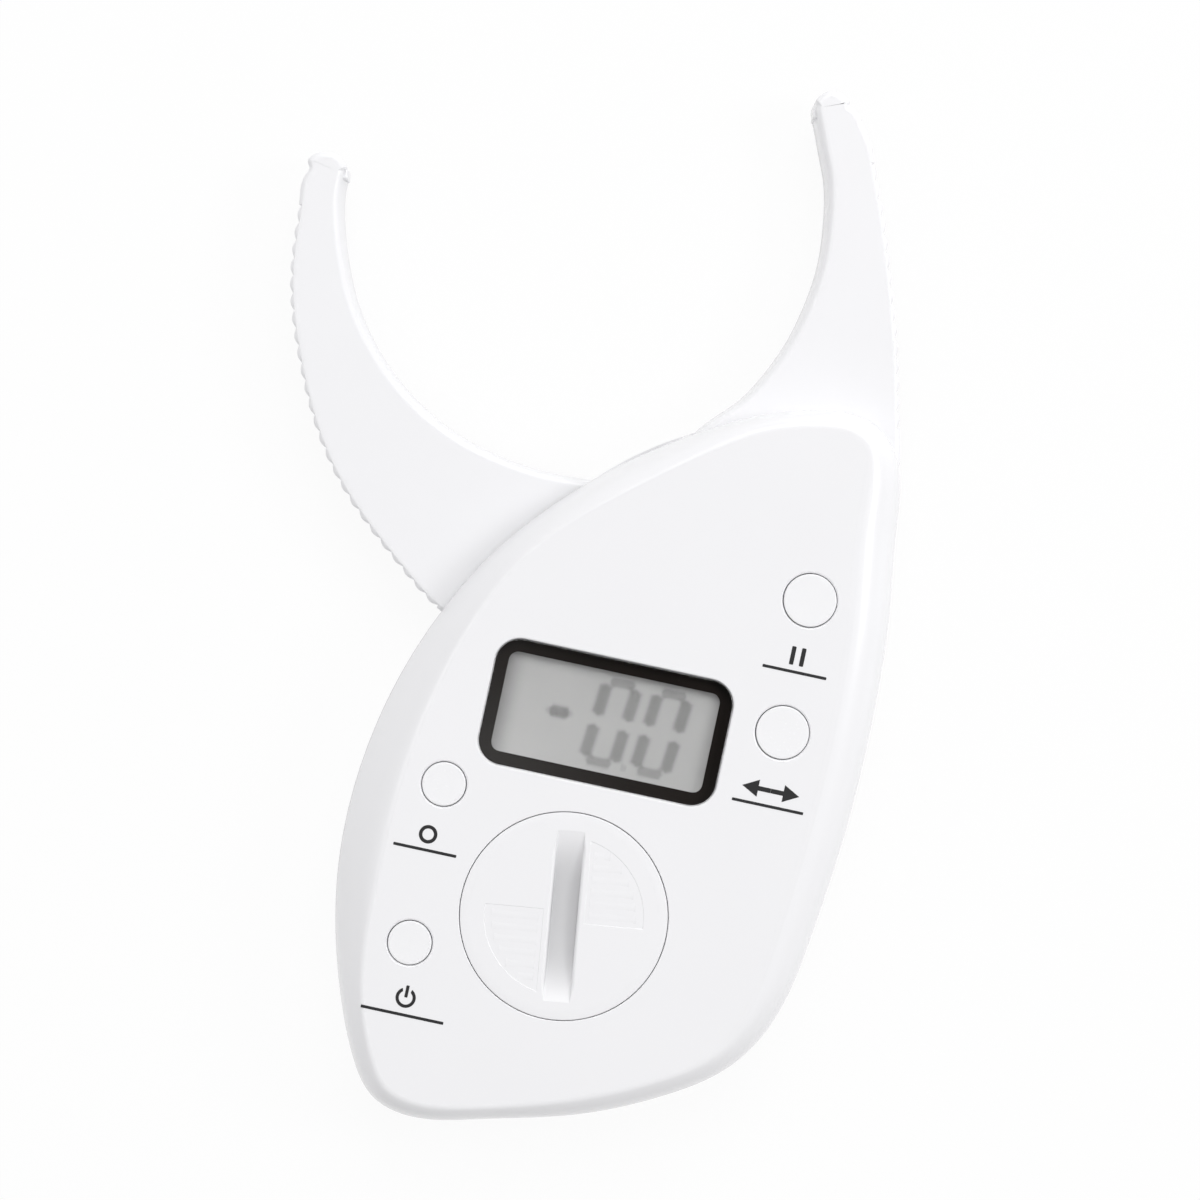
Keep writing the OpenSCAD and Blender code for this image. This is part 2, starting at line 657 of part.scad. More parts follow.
module pivot_screw() {
    z = post_top + washer_thickness;
    color([0.6, 0.61, 0.63]) difference() {
        union() {
            rod(pivot_shank, jaw_bottom - 0.4, z + 0.2);
            rod(pivot_head_radius, z, z + pivot_head_height * 0.6);
            translate([0, 0, z + pivot_head_height * 0.6])
                cylinder(h = pivot_head_height * 0.4, r1 = pivot_head_radius, r2 = pivot_head_radius * 0.8, $fn = 64);
        }
        cross_recess(z + pivot_head_height, 2.6, 0.5, 0.6);
    }
}

// Cross recess cut down from height z
module cross_recess(z, length, width, depth) {
    for (a = [0, 90]) {
        rotate(a) translate([-length / 2, -width / 2, z - depth]) cube([length, width, depth + 1]);
    }
}

// Path of the opening spring: a lower leg, the turns and an upper leg
leg = 2.6;
spring_steps = spring_turns * turn_steps;
spring_path = concat(
    [let (a = -60) [cos(a), sin(a), 0] * spring_radius + [-sin(a), cos(a), 0] * -leg * 0.15
        + [cos(a), sin(a), 0] * leg + [0, 0, spring_start]],
    [for (i = [0 : spring_steps])
        let (a = -60 + 360 * i / turn_steps)
        [spring_radius * cos(a), spring_radius * sin(a), spring_start + spring_height * i / spring_steps]],
    [let (a = -60 + 360 * spring_turns) [cos(a), sin(a), 0] * (spring_radius + leg)
        + [-sin(a), cos(a), 0] * leg * 0.15 + [0, 0, spring_start + spring_height]]);

// Least distance between points of the spring one turn apart, less the wire
spring_gap = min([for (i = [1 : spring_steps + 1 - turn_steps])
    norm(spring_path[i + turn_steps] - spring_path[i])]) - spring_wire;
echo(spring_gap_to_itself = spring_gap);

// One unbroken tube along a path, six sides round
module wire(path, r) {
    n = len(path);
    dirs = [for (i = [0 : n - 1])
        let (d = path[min(i + 1, n - 1)] - path[max(i - 1, 0)]) d / norm(d)];
    points = [for (i = [0 : n - 1], k = [0 : 5])
        let (d = dirs[i], u = cross(d, [0, 0, 1]) / norm(cross(d, [0, 0, 1])), v = cross(u, d))
        path[i] + r * (u * cos(60 * k) + v * sin(60 * k))];
    sides = [for (i = [0 : n - 2], k = [0 : 5], h = [0, 1])
        let (j = (k + 1) % 6)
        h == 0 ? [i * 6 + k, i * 6 + j, (i + 1) * 6 + j] : [i * 6 + k, (i + 1) * 6 + j, (i + 1) * 6 + k]];
    ends = [for (k = [1 : 4], h = [0, 1])
        h == 0 ? [0, k + 1, k] : [(n - 1) * 6, (n - 1) * 6 + k, (n - 1) * 6 + k + 1]];
    polyhedron(points, concat(sides, ends));
}

module torsion_spring() {
    color([0.62, 0.63, 0.65]) wire(spring_path, spring_wire / 2);
}

// Angle encoder ------------------------------------------------------------------------------

module rotor_board() {
    color([0.16, 0.36, 0.2]) tube(rotor_outer, rotor_inner, jaw_top, jaw_top + rotor_thickness);
}

// Ring of electrode pads between two radii
module pad_ring(ri, ro, count, share, z) {
    translate([0, 0, z]) linear_extrude(copper) difference() {
        for (i = [0 : count - 1]) {
            rotate(360 * i / count) polygon([[ri - 0.2, -ri * tan(180 * share / count)],
                [ro, -ro * tan(180 * share / count)], [ro, ro * tan(180 * share / count)],
                [ri - 0.2, ri * tan(180 * share / count)]]);
        }
        circle(ri, $fn = 64);
    }
}

module rotor_electrodes() {
    color([0.8, 0.62, 0.3]) pad_ring(rotor_inner + 0.3, rotor_outer - 0.3, 18, 0.5, jaw_top + rotor_thickness);
}

module stator_electrodes() {
    color([0.8, 0.62, 0.3]) pad_ring(rotor_inner + 0.3, rotor_outer - 0.3, 36, 0.7, board_bottom - copper);
}

// Circuit board and what is on it ------------------------------------------------------------

module circuit_board() {
    color([0.12, 0.34, 0.2]) translate([0, 0, board_bottom]) linear_extrude(board_thickness) difference() {
        union() {
            circle(board_lobe, $fn = 96);
            polygon(board_outline);
        }
        circle(2.9, $fn = 48);
        for (p = board_screws_at) {
            translate([p.x, p.y]) circle(board_screw / 2 + 0.15, $fn = 32);
        }
    }
}

module board_screws() {
    color([0.6, 0.61, 0.63]) for (p = board_screws_at) {
        translate([p.x, p.y, 0]) difference() {
            union() {
                rod(board_screw / 2, board_bottom - 0.2, board_top + board_grip);
                rod(board_head_radius, board_bottom - board_head_height, board_bottom);
            }
            mirror([0, 0, 1]) cross_recess(board_head_height - board_bottom, 1.8, 0.4, 0.5);
        }
    }
}

module case_screws() {
    color([0.6, 0.61, 0.63]) for (p = case_screws_at) {
        translate([p.x, p.y, 0]) difference() {
            union() {
                rod(case_head_radius, case_head_sink, case_head_sink + case_head_height);
                rod(case_screw / 2, case_head_sink + 0.2, case_shank_top);
            }
            mirror([0, 0, 1]) cross_recess(-case_head_sink, 2.6, 0.5, 0.8);
        }
    }
}

// Surface-mounted parts on the board's front: x, y, length, width, height
chips_at = placed_all([[-9.5, -3.2, 1.6, 0.8, 0.7], [-9.5, -5.4, 1.6, 0.8, 0.7], [4.5, -6.2, 1.6, 0.8, 0.7],
    [7.5, -6.2, 1.6, 0.8, 0.7], [10.5, -6.2, 1.6, 0.8, 0.7], [15.6, -36.5, 1.6, 0.8, 0.7],
    [15.6, -39, 1.6, 0.8, 0.7], [-14.6, -56.2, 1.6, 0.8, 0.7]]);

module chip_capacitors() {
    color([0.6, 0.5, 0.38]) for (c = chips_at) {
        translate([c.x - c[2] / 2, c.y - c[3] / 2, board_top]) cube([c[2], c[3], c[4]]);
    }
}

// Controller die under its drop of resin
module controller_chip() {
    color([0.05, 0.05, 0.055]) translate([3, 0, board_top]) {
        cylinder(h = 0.4, r = 4.2, $fn = 64);
        translate([0, 0, 0.4]) cylinder(h = 0.6, r1 = 4.2, r2 = 2.4, $fn = 64);
    }
}

module clock_crystal() {
    color([0.75, 0.76, 0.78]) translate([-3.6, -8.2, board_top + 1]) rotate([0, 90, 0])
        cylinder(h = 6, r = 1, $fn = 32);
}

// Display ------------------------------------------------------------------------------------

module display_holder() {
    color([0.88, 0.885, 0.9]) translate([0, display_y, board_top]) difference() {
        translate([-glass_width / 2 - frame_wall, -glass_height / 2 - frame_wall, 0])
            cube([glass_width + 2 * frame_wall, glass_height + 2 * frame_wall, glass_top - board_top]);
        translate([-glass_width / 2 - 0.05, -glass_height / 2 - 0.05, glass_bottom - board_top])
            cube([glass_width + 0.1, glass_height + 0.1, glass_thickness + 1]);
        translate([-glass_width / 2 + 1, -glass_height / 2 + 0.4, -1])
            cube([glass_width - 2, glass_height - 0.8, glass_thickness + 3]);
    }
}

module connector_strips() {
    color([0.82, 0.55, 0.62]) for (s = [-1, 1]) {
        translate([0, display_y + s * (glass_height / 2 - 0.5 - strip_width / 2),
            (board_top + glass_bottom) / 2])
            cube([glass_width - 2.4, strip_width, glass_bottom - board_top], center = true);
    }
}

module display_glass() {
    color([0.71, 0.72, 0.7]) translate([-glass_width / 2, display_y - glass_height / 2, glass_bottom])
        cube([glass_width, glass_height, glass_thickness]);
}

// Digit strokes: a bar with pointed ends from p to q
stroke = digit_height * 0.125;
module stroke_bar(p, q) {
    d = (q - p) / norm(q - p);
    s = [-d.y, d.x] * stroke / 2;
    polygon([p, p + d * stroke / 2 + s, q - d * stroke / 2 + s, q, q - d * stroke / 2 - s,
        p + d * stroke / 2 - s]);
}

// The outer strokes of a figure nought, leaning slightly
module nought(x) {
    h = digit_height / 2;
    w = digit_height * 0.25;
    lean = 0.09;
    g = 0.14;
    c = [[-w - lean * h, -h], [w - lean * h, -h], [w, 0], [w + lean * h, h], [-w + lean * h, h], [-w, 0]];
    translate([x, display_y]) for (i = [0 : 5]) {
        a = c[i];
        b = c[(i + 1) % 6];
        d = (b - a) / norm(b - a);
        stroke_bar(a + d * g, b - d * g);
    }
}

module display_digits() {
    color([0.28, 0.29, 0.28]) translate([0, 0, glass_top]) linear_extrude(ink) {
        nought(digit_height * 0.06);
        nought(digit_height * 0.71);
        translate([-5.85, display_y]) stroke_bar([-stroke * 1.15, 0], [stroke * 1.15, 0]);
        translate([3.5, display_y - digit_height * 0.47]) circle(stroke * 0.42, $fn = 24);
    }
}

module window_mask() {
    color([0.03, 0.03, 0.032]) translate([0, display_y, ledge_top]) linear_extrude(copper) difference() {
        rounded(window_width, window_height, window_corner);
        rounded(window_width - 2 * window_border, window_height - 2 * window_border,
            window_corner - window_border);
    }
}

module display_window() {
    color([0.8, 0.85, 0.85, 0.3]) translate([0, display_y, ledge_top + copper])
        linear_extrude(window_thickness) rounded(window_width, window_height, window_corner);
}

// Buttons ------------------------------------------------------------------------------------

// Button cap with its flange under the front cover and its stem to the switch
module button(at, d) {
    color([0.95, 0.955, 0.965]) translate([at.x, at.y, 0]) {
        rod(d / 2, ceiling - 0.5, front + button_rise - 0.1);
        translate([0, 0, front + button_rise - 0.1])
            cylinder(h = 0.1, r1 = d / 2, r2 = d / 2 - 0.25, $fn = 64);
        rod(d / 2 + flange, ceiling - seat_gap - flange_lip, ceiling - seat_gap);
        rod(plunger_radius, switch_top + plunger_rise, ceiling - 0.5);
    }
}

// Moving stem of a switch, which rests against its button
module plunger(at) {
    color([0.1, 0.1, 0.11]) translate([at.x, at.y, 0]) {
        rod(plunger_radius, switch_top - 0.2, switch_top + plunger_rise);
    }
}

module switch_bodies() {
    color([0.2, 0.2, 0.21]) for (p = [hold_at, unit_at, zero_at, power_at]) {
        translate([p.x, p.y, 0]) difference() {
            translate([-switch_size / 2, -switch_size / 2, board_top])
                cube([switch_size, switch_size, switch_top - board_top]);
            rod(plunger_radius + plunger_gap, switch_top - 0.2 - plunger_rise, switch_top + 1);
        }
    }
}

module hold_button() { button(hold_at, large_button); }
module unit_button() { button(unit_at, large_button); }
module zero_button() { button(zero_at, small_button); }
module power_button() { button(power_at, small_button); }
module hold_plunger() { plunger(hold_at); }
module unit_plunger() { plunger(unit_at); }
module zero_plunger() { plunger(zero_at); }
module power_plunger() { plunger(power_at); }

// Printed marks: a bar under a small sign for each button
module printed_bar(b) {
    translate([b.x - b[2] / 2, b.y - bar_width / 2]) square([b[2], bar_width]);
}

// Arrow of the unit switch, beside the middle of its bar
module arrow(d) {
    w = bar_width;
    translate([unit_bar.x + d * unit_bar[2] * 0.24, unit_bar.y + w * 5.4]) polygon([[d * w * 4, 0],
        [-d * w * 1.6, w * 3], [-d * w * 1.6, w * 0.8], [-d * w * 6, w * 0.8],
        [-d * w * 6, -w * 0.8], [-d * w * 1.6, -w * 0.8], [-d * w * 1.6, -w * 3]]);
}

module printed_marks() {
    w = bar_width;
    color([0.1, 0.1, 0.11]) translate([0, 0, front]) linear_extrude(ink) {
        printed_bar(hold_bar);
        printed_bar(unit_bar);
        printed_bar(zero_bar);
        printed_bar(power_bar);
        for (x = [-w * 2.5, w]) {
            translate([hold_bar.x + x, hold_bar.y + w * 2.3]) square([w * 1.5, w * 6.4]);
        }
        arrow(-1);
        arrow(1);
        translate([zero_bar.x, zero_bar.y + w * 5.5]) difference() {
            circle(w * 3.2, $fn = 48);
            circle(w * 2, $fn = 48);
        }
        translate([power_bar.x, power_bar.y + w * 6]) {
            difference() {
                circle(w * 3.5, $fn = 48);
                circle(w * 2.4, $fn = 48);
                translate([-w * 1.4, 0]) square([w * 2.8, w * 6]);
            }
            translate([-w * 0.55, 0]) square([w * 1.1, w * 4.2]);
        }
    }
}

// Battery ------------------------------------------------------------------------------------

module coin_cell() {
    color([0.78, 0.79, 0.8]) translate([cell_centre.x, cell_centre.y, 0]) {
        rod(cell_diameter / 2 - 1.4, cell_bottom, cell_bottom + 0.3);
        rod(cell_diameter / 2, cell_bottom + 0.3, cell_top);
    }
}

module negative_contact() {
    color([0.82, 0.78, 0.6]) translate([cell_centre.x, cell_centre.y, board_top]) {
        cylinder(h = spring_leaf, r = 2.4, $fn = 48);
        translate([-8, -1, 0]) cube([7, 2, spring_leaf]);
    }
}

module positive_contact() {
    color([0.82, 0.78, 0.6]) translate([cell_centre.x, cell_centre.y, board_top]) {
        difference() {
            intersection() {
                tube(cell_diameter / 2 + 0.3, cell_diameter / 2 + 0.02, 0, skirt_bottom - board_top - 0.2);
                translate([0, 0, -1]) rotate(-90) linear_extrude(4) lug_sector(cell_diameter / 2 + 2, 40);
            }
        }
        translate([-1.5, -cell_diameter / 2 - 2, 0]) cube([3, 1.9, 0.2]);
    }
}

// Ribbed grip field on one side of the coin slot, as the ground between the ribs
module grip_field() {
    rows = floor((grip_radius - 0.4) / grip_pitch);
    intersection() {
        circle(grip_radius, $fn = 96);
        union() {
            for (i = [0 : rows]) {
                translate([-grip_radius, -i * grip_pitch - 0.4]) square([grip_radius - 2.4, grip_pitch - 0.55]);
            }
        }
    }
    difference() {
        intersection() {
            circle(grip_radius, $fn = 96);
            translate([-grip_radius, -grip_radius]) square([grip_radius - 2.4, grip_radius + 0.7]);
        }
        circle(grip_radius - 0.5, $fn = 96);
    }
}

// Bevel along both sides of the coin slot, as long as the slot is deeper than the bevel
module coin_slot_bevel() {
    w = coin_slot_width / 2;
    b = coin_slot_rim;
    reach = sqrt(pow(coin_slot_round, 2) - pow(coin_slot_round - coin_slot_depth + b, 2));
    translate([0, 0, front]) rotate([90, 0, 90]) linear_extrude(2 * reach, center = true)
        polygon([[-w, -b], [w, -b], [w + b + 0.1, 0.1], [-w - b - 0.1, 0.1]]);
}

module battery_cap() {
    color([0.94, 0.945, 0.955]) translate([cell_centre.x, cell_centre.y, 0]) difference() {
        union() {
            rod(cap_radius, cap_plate_bottom, front - 0.1);
            translate([0, 0, front - 0.1]) cylinder(h = 0.1, r1 = cap_radius, r2 = cap_radius - 0.25, $fn = 96);
            tube(skirt_outer, skirt_inner, skirt_bottom, cap_plate_bottom + 0.2);
            for (a = [0 : 120 : 359]) {
                rotate(a + coin_slot_angle - 60)
                    translate([0, 0, ledge_ring_bottom - seat_gap - lug_height])
                    linear_extrude(lug_height) difference() {
                        lug_sector(skirt_outer + lug_reach, lug_angle);
                        circle(skirt_outer - 0.4, $fn = 96);
                    }
            }
            rotate(coin_slot_angle) translate([-coin_slot_length / 2 - 0.5, -coin_slot_width / 2 - 1,
                cell_top + seat_gap]) intersection() {
                cube([coin_slot_length + 1, coin_slot_width + 2, cap_plate_bottom - cell_top]);
                translate([coin_slot_length / 2 + 0.5, coin_slot_width / 2 + 1, -1])
                    cylinder(h = 10, r = skirt_inner - 0.2, $fn = 96);
            }
        }
        rotate(coin_slot_angle) translate([0, coin_slot_width / 2, front - coin_slot_depth + coin_slot_round])
            rotate([90, 0, 0]) cylinder(h = coin_slot_width, r = coin_slot_round, $fn = 180);
        rotate(coin_slot_angle) coin_slot_bevel();
        for (a = [0, 180]) {
            rotate(coin_slot_angle - 90 + a) translate([0, 0, front - grip_recess])
                linear_extrude(1) grip_field();
        }
    }
}

// Parts list ---------------------------------------------------------------------------------

front_cover();
rear_cover();
moving_jaw();
pivot_washer();
pivot_screw();
torsion_spring();
rotor_board();
rotor_electrodes();
stator_electrodes();
circuit_board();
board_screws();
case_screws();
chip_capacitors();
controller_chip();
clock_crystal();
display_holder();
connector_strips();
display_glass();
display_digits();
window_mask();
display_window();
hold_button();
unit_button();
zero_button();
power_button();
hold_plunger();
unit_plunger();
zero_plunger();
power_plunger();
switch_bodies();
printed_marks();
coin_cell();
negative_contact();
positive_contact();
battery_cap();
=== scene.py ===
"""Digital skinfold caliper: the pieces that show and their finishes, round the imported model.

The frame's axes are kept: the origin is on the jaw's pivot axis at the rear face, +Y points to
the jaws and +Z leaves the front face. Lengths are millimetres until a mesh is made.
"""

from __future__ import annotations

import logging
import math
from dataclasses import dataclass, field
from enum import Enum
from typing import Callable, Mapping, Optional, Sequence, Union

import bmesh
import bpy
import numpy as np
from mathutils import Matrix, Vector


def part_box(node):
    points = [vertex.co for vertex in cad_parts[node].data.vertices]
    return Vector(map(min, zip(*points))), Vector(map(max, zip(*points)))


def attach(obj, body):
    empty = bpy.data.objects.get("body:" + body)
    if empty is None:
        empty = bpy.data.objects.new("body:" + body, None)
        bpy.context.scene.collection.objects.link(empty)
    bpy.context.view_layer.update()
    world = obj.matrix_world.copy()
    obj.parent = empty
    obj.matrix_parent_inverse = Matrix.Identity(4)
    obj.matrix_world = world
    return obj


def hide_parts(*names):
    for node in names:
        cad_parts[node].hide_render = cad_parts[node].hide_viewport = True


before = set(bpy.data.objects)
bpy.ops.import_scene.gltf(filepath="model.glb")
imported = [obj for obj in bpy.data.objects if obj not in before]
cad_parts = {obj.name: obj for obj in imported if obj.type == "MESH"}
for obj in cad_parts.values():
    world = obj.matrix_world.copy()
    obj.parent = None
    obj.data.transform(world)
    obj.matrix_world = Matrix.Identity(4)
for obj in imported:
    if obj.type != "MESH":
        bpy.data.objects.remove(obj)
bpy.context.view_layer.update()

LOG = logging.getLogger("caliper")
MM = 0.001
Colour = tuple[float, float, float]
Point = tuple[float, float]
Place = tuple[float, float, float]
Socket = bpy.types.NodeSocket
Thing = bpy.types.Object


class Body(Enum):
    """The bodies that pieces ride on."""

    HOUSING = "housing"
    JAW = "jaw"
    HOLD_KEY = "hold_key"
    UNIT_KEY = "unit_key"
    ZERO_KEY = "zero_key"
    POWER_KEY = "power_key"
    CAP = "cap"


class Carve(Enum):
    """How a tool body changes the body that it meets."""

    JOIN = "UNION"
    CUT = "DIFFERENCE"
    KEEP = "INTERSECT"


# Node trees ----------------------------------------------------------------------------------


def arithmetic(operation: str, swapped: bool = False) -> Callable[[Wire, Number], Wire]:
    """A method of Wire that adds one Math node.

    Args:
        operation: the Math node's operation.
        swapped: whether the other number goes in first.

    Returns:
        The method.
    """

    def method(wire: Wire, other: Number) -> Wire:
        """The operation's result on this number and another."""
        return wire.math(operation, *((other, wire) if swapped else (wire, other)))

    return method


class Wire:
    """A number in a node tree, on which arithmetic adds Math nodes."""

    def __init__(self, tree: "NodeTree", socket: Socket) -> None:
        """Keeps the tree and the output socket that carries the number."""
        self.tree = tree
        self.socket = socket

    def math(self, operation: str, *terms: "Number") -> "Wire":
        """Adds one Math node.

        Args:
            operation: the Math node's operation.
            *terms: its inputs in order, as numbers or wires.

        Returns:
            The node's result.
        """
        node = self.tree.node("ShaderNodeMath", {"operation": operation}, dict(enumerate(terms)))
        return Wire(self.tree, node.outputs[0])

    __add__, __radd__ = arithmetic("ADD"), arithmetic("ADD", True)
    __sub__, __rsub__ = arithmetic("SUBTRACT"), arithmetic("SUBTRACT", True)
    __mul__, __rmul__ = arithmetic("MULTIPLY"), arithmetic("MULTIPLY", True)
    __truediv__, __lt__, larger = arithmetic("DIVIDE"), arithmetic("LESS_THAN"), arithmetic("MAXIMUM")

    def __abs__(self) -> "Wire":
        """This number without its sign."""
        return self.math("ABSOLUTE", self)

    def sine(self) -> "Wire":
        """The sine of this number, which is in radians."""
        return self.math("SINE", self)

    def ramp(self, low: float, high: float) -> "Wire":
        """A smooth rise from 0 at low to 1 at high, or a fall where low is the larger."""
        start, end, first, last = (low, high, 0.0, 1.0) if low < high else (high, low, 1.0, 0.0)
        node = self.tree.node(
            "ShaderNodeMapRange",
            {"interpolation_type": "SMOOTHSTEP"},
            {"Value": self, "From Min": start, "From Max": end, "To Min": first, "To Max": last},
        )
        return Wire(self.tree, node.outputs["Result"])


Number = Union[float, Wire]


class NodeTree:
    """A node tree under construction, to which one method adds every kind of node."""

    def __init__(self, tree: bpy.types.NodeTree) -> None:
        """Keeps the tree that is built."""
        self.tree = tree

    def node(
        self,
        kind: str,
        settings: Optional[Mapping[str, object]] = None,
        values: Optional[Mapping[Union[str, int], object]] = None,
    ) -> bpy.types.Node:
        """Adds a node.

        Args:
            kind: the node's type.
            settings: its own properties, set first; "stops" holds a ramp's places and colours.
            values: its sockets by name or index, each a constant, a wire or an output socket.

        Returns:
            The node.
        """
        made = self.tree.nodes.new(kind)
        for name, value in (settings or {}).items():
            if name == "stops":
                self._set_stops(made.color_ramp, value)
            else:
                setattr(made, name, value)
        for name, value in (values or {}).items():
            source = value.socket if isinstance(value, Wire) else value
            if isinstance(source, Socket):
                self.tree.links.new(source, made.inputs[name])
            else:
                made.inputs[name].default_value = source
        return made

    @staticmethod
    def _set_stops(ramp: bpy.types.ColorRamp, stops: Sequence[tuple[float, Colour]]) -> None:
        """Gives a colour ramp its stops, each a place and a colour."""
        while len(ramp.elements) < len(stops):
            ramp.elements.new(1.0)
        for element, (place, colour) in zip(ramp.elements, stops):
            element.position = place
            element.color = (*colour, 1.0)


class ShaderTree(NodeTree):
    """A material's node tree, with the patterns that the finishes share."""

    def __init__(self, name: str) -> None:
        """Starts an empty material with that name."""
        self.material = bpy.data.materials.new(name)
        self.material.use_nodes = True
        super().__init__(self.material.node_tree)
        self.tree.nodes.clear()
        self.place = self.node("ShaderNodeTexCoord").outputs["Object"]

    def axis(self, name: str) -> Wire:
        """The object coordinate along X, Y or Z, in millimetres."""
        split = self.node("ShaderNodeSeparateXYZ", {}, {"Vector": self.place})
        return Wire(self, split.outputs[name]) * (1 / MM)

    def _scaled(self, size: float, stretch: Place) -> Socket:
        """Object coordinates in steps of size millimetres, drawn out by stretch."""
        scale = tuple(1 / (size * s * MM) for s in stretch)
        values = {"Vector": self.place, "Scale": scale}
        return self.node("ShaderNodeMapping", {"vector_type": "POINT"}, values).outputs["Vector"]

    def noise(
        self, size: float, detail: float = 2.0, stretch: Place = (1, 1, 1)
    ) -> Wire:
        """Soft noise from 0 to 1.

        Args:
            size: the size of its features, in millimetres.
            detail: how many finer layers it has.
            stretch: how far the features are drawn out along each axis.

        Returns:
            The noise.
        """
        values = {"Vector": self._scaled(size, stretch), "Scale": 1.0, "Detail": detail}
        return Wire(self, self.node("ShaderNodeTexNoise", {}, values).outputs["Fac"])

    def specks(self, spacing: float, radius: float, share: float) -> Wire:
        """Sparse round specks, 1 inside and 0 outside.

        Args:
            spacing: the size of the cell that may hold one speck, in millimetres.
            radius: a speck's radius, in millimetres.
            share: the share of cells that hold one.

        Returns:
            The specks.
        """
        node = self.node(
            "ShaderNodeTexVoronoi", {}, {"Vector": self._scaled(spacing, (1, 1, 1)), "Scale": 1.0}
        )
        split = self.node("ShaderNodeSeparateColor", {}, {"Color": node.outputs["Color"]})
        inside = Wire(self, node.outputs["Distance"]).ramp(radius / spacing, radius / spacing * 0.5)
        return inside * (Wire(self, split.outputs["Red"]) < share)

    def mix(self, share: Number, first: object, second: object) -> Socket:
        """A colour that goes from the first to the second as share goes from 0 to 1."""
        ends = [(*c, 1.0) if isinstance(c, tuple) else c for c in (first, second)]
        node = self.node("ShaderNodeMix", {"data_type": "RGBA"}, {0: share, 6: ends[0], 7: ends[1]})
        return node.outputs[2]

    def bump(self, height: Wire, depth: float) -> Socket:
        """A normal that shows the height, of which 1 stands depth millimetres high."""
        return self.node("ShaderNodeBump", {}, {"Height": height, "Distance": depth * MM}).outputs[0]

    def principled(self, values: Mapping[str, object]) -> Socket:
        """A Principled shader with those sockets set; a plain colour may have three parts."""
        full = {k: (*v, 1.0) if isinstance(v, tuple) and len(v) == 3 else v for k, v in values.items()}
        return self.node("ShaderNodeBsdfPrincipled", {}, full).outputs["BSDF"]

    def show(self, shader: Socket) -> None:
        """Ends the tree in that shader."""
        self.node("ShaderNodeOutputMaterial", {}, {"Surface": shader})

    def surface(self, values: Mapping[str, object]) -> None:
        """Ends the tree in a Principled shader with those sockets set."""
        self.show(self.principled(values))


class GeometryTree(NodeTree):
    """A Geometry Nodes tree with named inputs, which is run on a mesh and leaves a plain one."""

    def __init__(self, name: str, inputs: Mapping[str, str]) -> None:
        """Starts the tree.

        Args:
            name: the tree's name.
            inputs: the named inputs and the type of each one's socket.
        """
        super().__init__(bpy.data.node_groups.new(name, "GeometryNodeTree"))
        face = self.tree.interface
        face.new_socket("Geometry", in_out="INPUT", socket_type="NodeSocketGeometry")
        for label, kind in inputs.items():
            face.new_socket(label, in_out="INPUT", socket_type=kind)
        face.new_socket("Material", in_out="INPUT", socket_type="NodeSocketMaterial")
        face.new_socket("Geometry", in_out="OUTPUT", socket_type="NodeSocketGeometry")
        self.entry = self.node("NodeGroupInput").outputs

    def number(self, label: str) -> Wire:
        """The named input as a number."""
        return Wire(self, self.entry[label])

    def attribute(self, name: str, kind: str = "FLOAT") -> Socket:
        """The mesh's attribute of that name."""
        return self.node("GeometryNodeInputNamedAttribute", {"data_type": kind}, {"Name": name}).outputs[0]

    def close(self, geometry: Socket) -> None:
        """Ends the tree: instances are made real and everything gets the material."""
        real = self.node("GeometryNodeRealizeInstances", {}, {"Geometry": geometry})
        dressed = self.node(
            "GeometryNodeSetMaterial", {}, {"Geometry": real.outputs[0], "Material": self.entry["Material"]}
        )
        self.node("NodeGroupOutput", {}, {"Geometry": dressed.outputs[0]})

    def run(self, thing: Thing, values: Mapping[str, object]) -> Thing:
        """Runs the tree on an object's mesh and keeps the result as its plain mesh.

        Args:
            thing: the object whose mesh goes in.
            values: the named inputs.

        Returns:
            The same object.
        """
        modifier = thing.modifiers.new(self.tree.name, "NODES")
        modifier.node_group = self.tree
        for item in self.tree.interface.items_tree:
            if item.in_out == "INPUT" and item.name in values:
                modifier[item.identifier] = values[item.name]
        return settle(thing)


# Curves and meshes ---------------------------------------------------------------------------


def spline(points: np.ndarray, steps: int, closed: bool) -> np.ndarray:
    """A curve of even bend through the points.

    Args:
        points: one row a point; the first two columns are its place, the others go along.
        steps: points between two neighbours.
        closed: whether the last point joins the first.

    Returns:
        The curve's points, one row each.
    """
    n = len(points)
    following = np.roll(points, -1, axis=0)
    gap = np.linalg.norm((following - points)[:, :2], axis=1)
    slope = (following - points) / gap[:, None]
    system, right = np.eye(n), np.zeros_like(points)
    for i in range(n) if closed else range(1, n - 1):
        system[i] = 0.0
        system[i, i - 1] = gap[i - 1]
        system[i, i] = 2 * (gap[i - 1] + gap[i])
        system[i, (i + 1) % n] = gap[i]
        right[i] = 6 * (slope[i] - slope[i - 1])
    bend = np.linalg.solve(system, right)
    rows = []
    for i in range(n if closed else n - 1):
        j = (i + 1) % n
        for t in np.arange(steps) / steps:
            u = 1 - t
            curve = (u**3 - u) * bend[i] + (t**3 - t) * bend[j]
            rows.append(u * points[i] + t * points[j] + gap[i] ** 2 / 6 * curve)
    return np.array(rows if closed else [*rows, points[-1]])


def run_along(points: np.ndarray) -> np.ndarray:
    """How far along the path each of its points lies."""
    return np.concatenate([[0], np.cumsum(np.linalg.norm(np.diff(points, axis=0), axis=1))])


def evenly(points: np.ndarray, count: int) -> np.ndarray:
    """The same path with evenly spaced points."""
    run = run_along(points)
    at = np.linspace(0, run[-1], count)
    return np.stack([np.interp(at, run, points[:, k]) for k in range(points.shape[1])], axis=1)


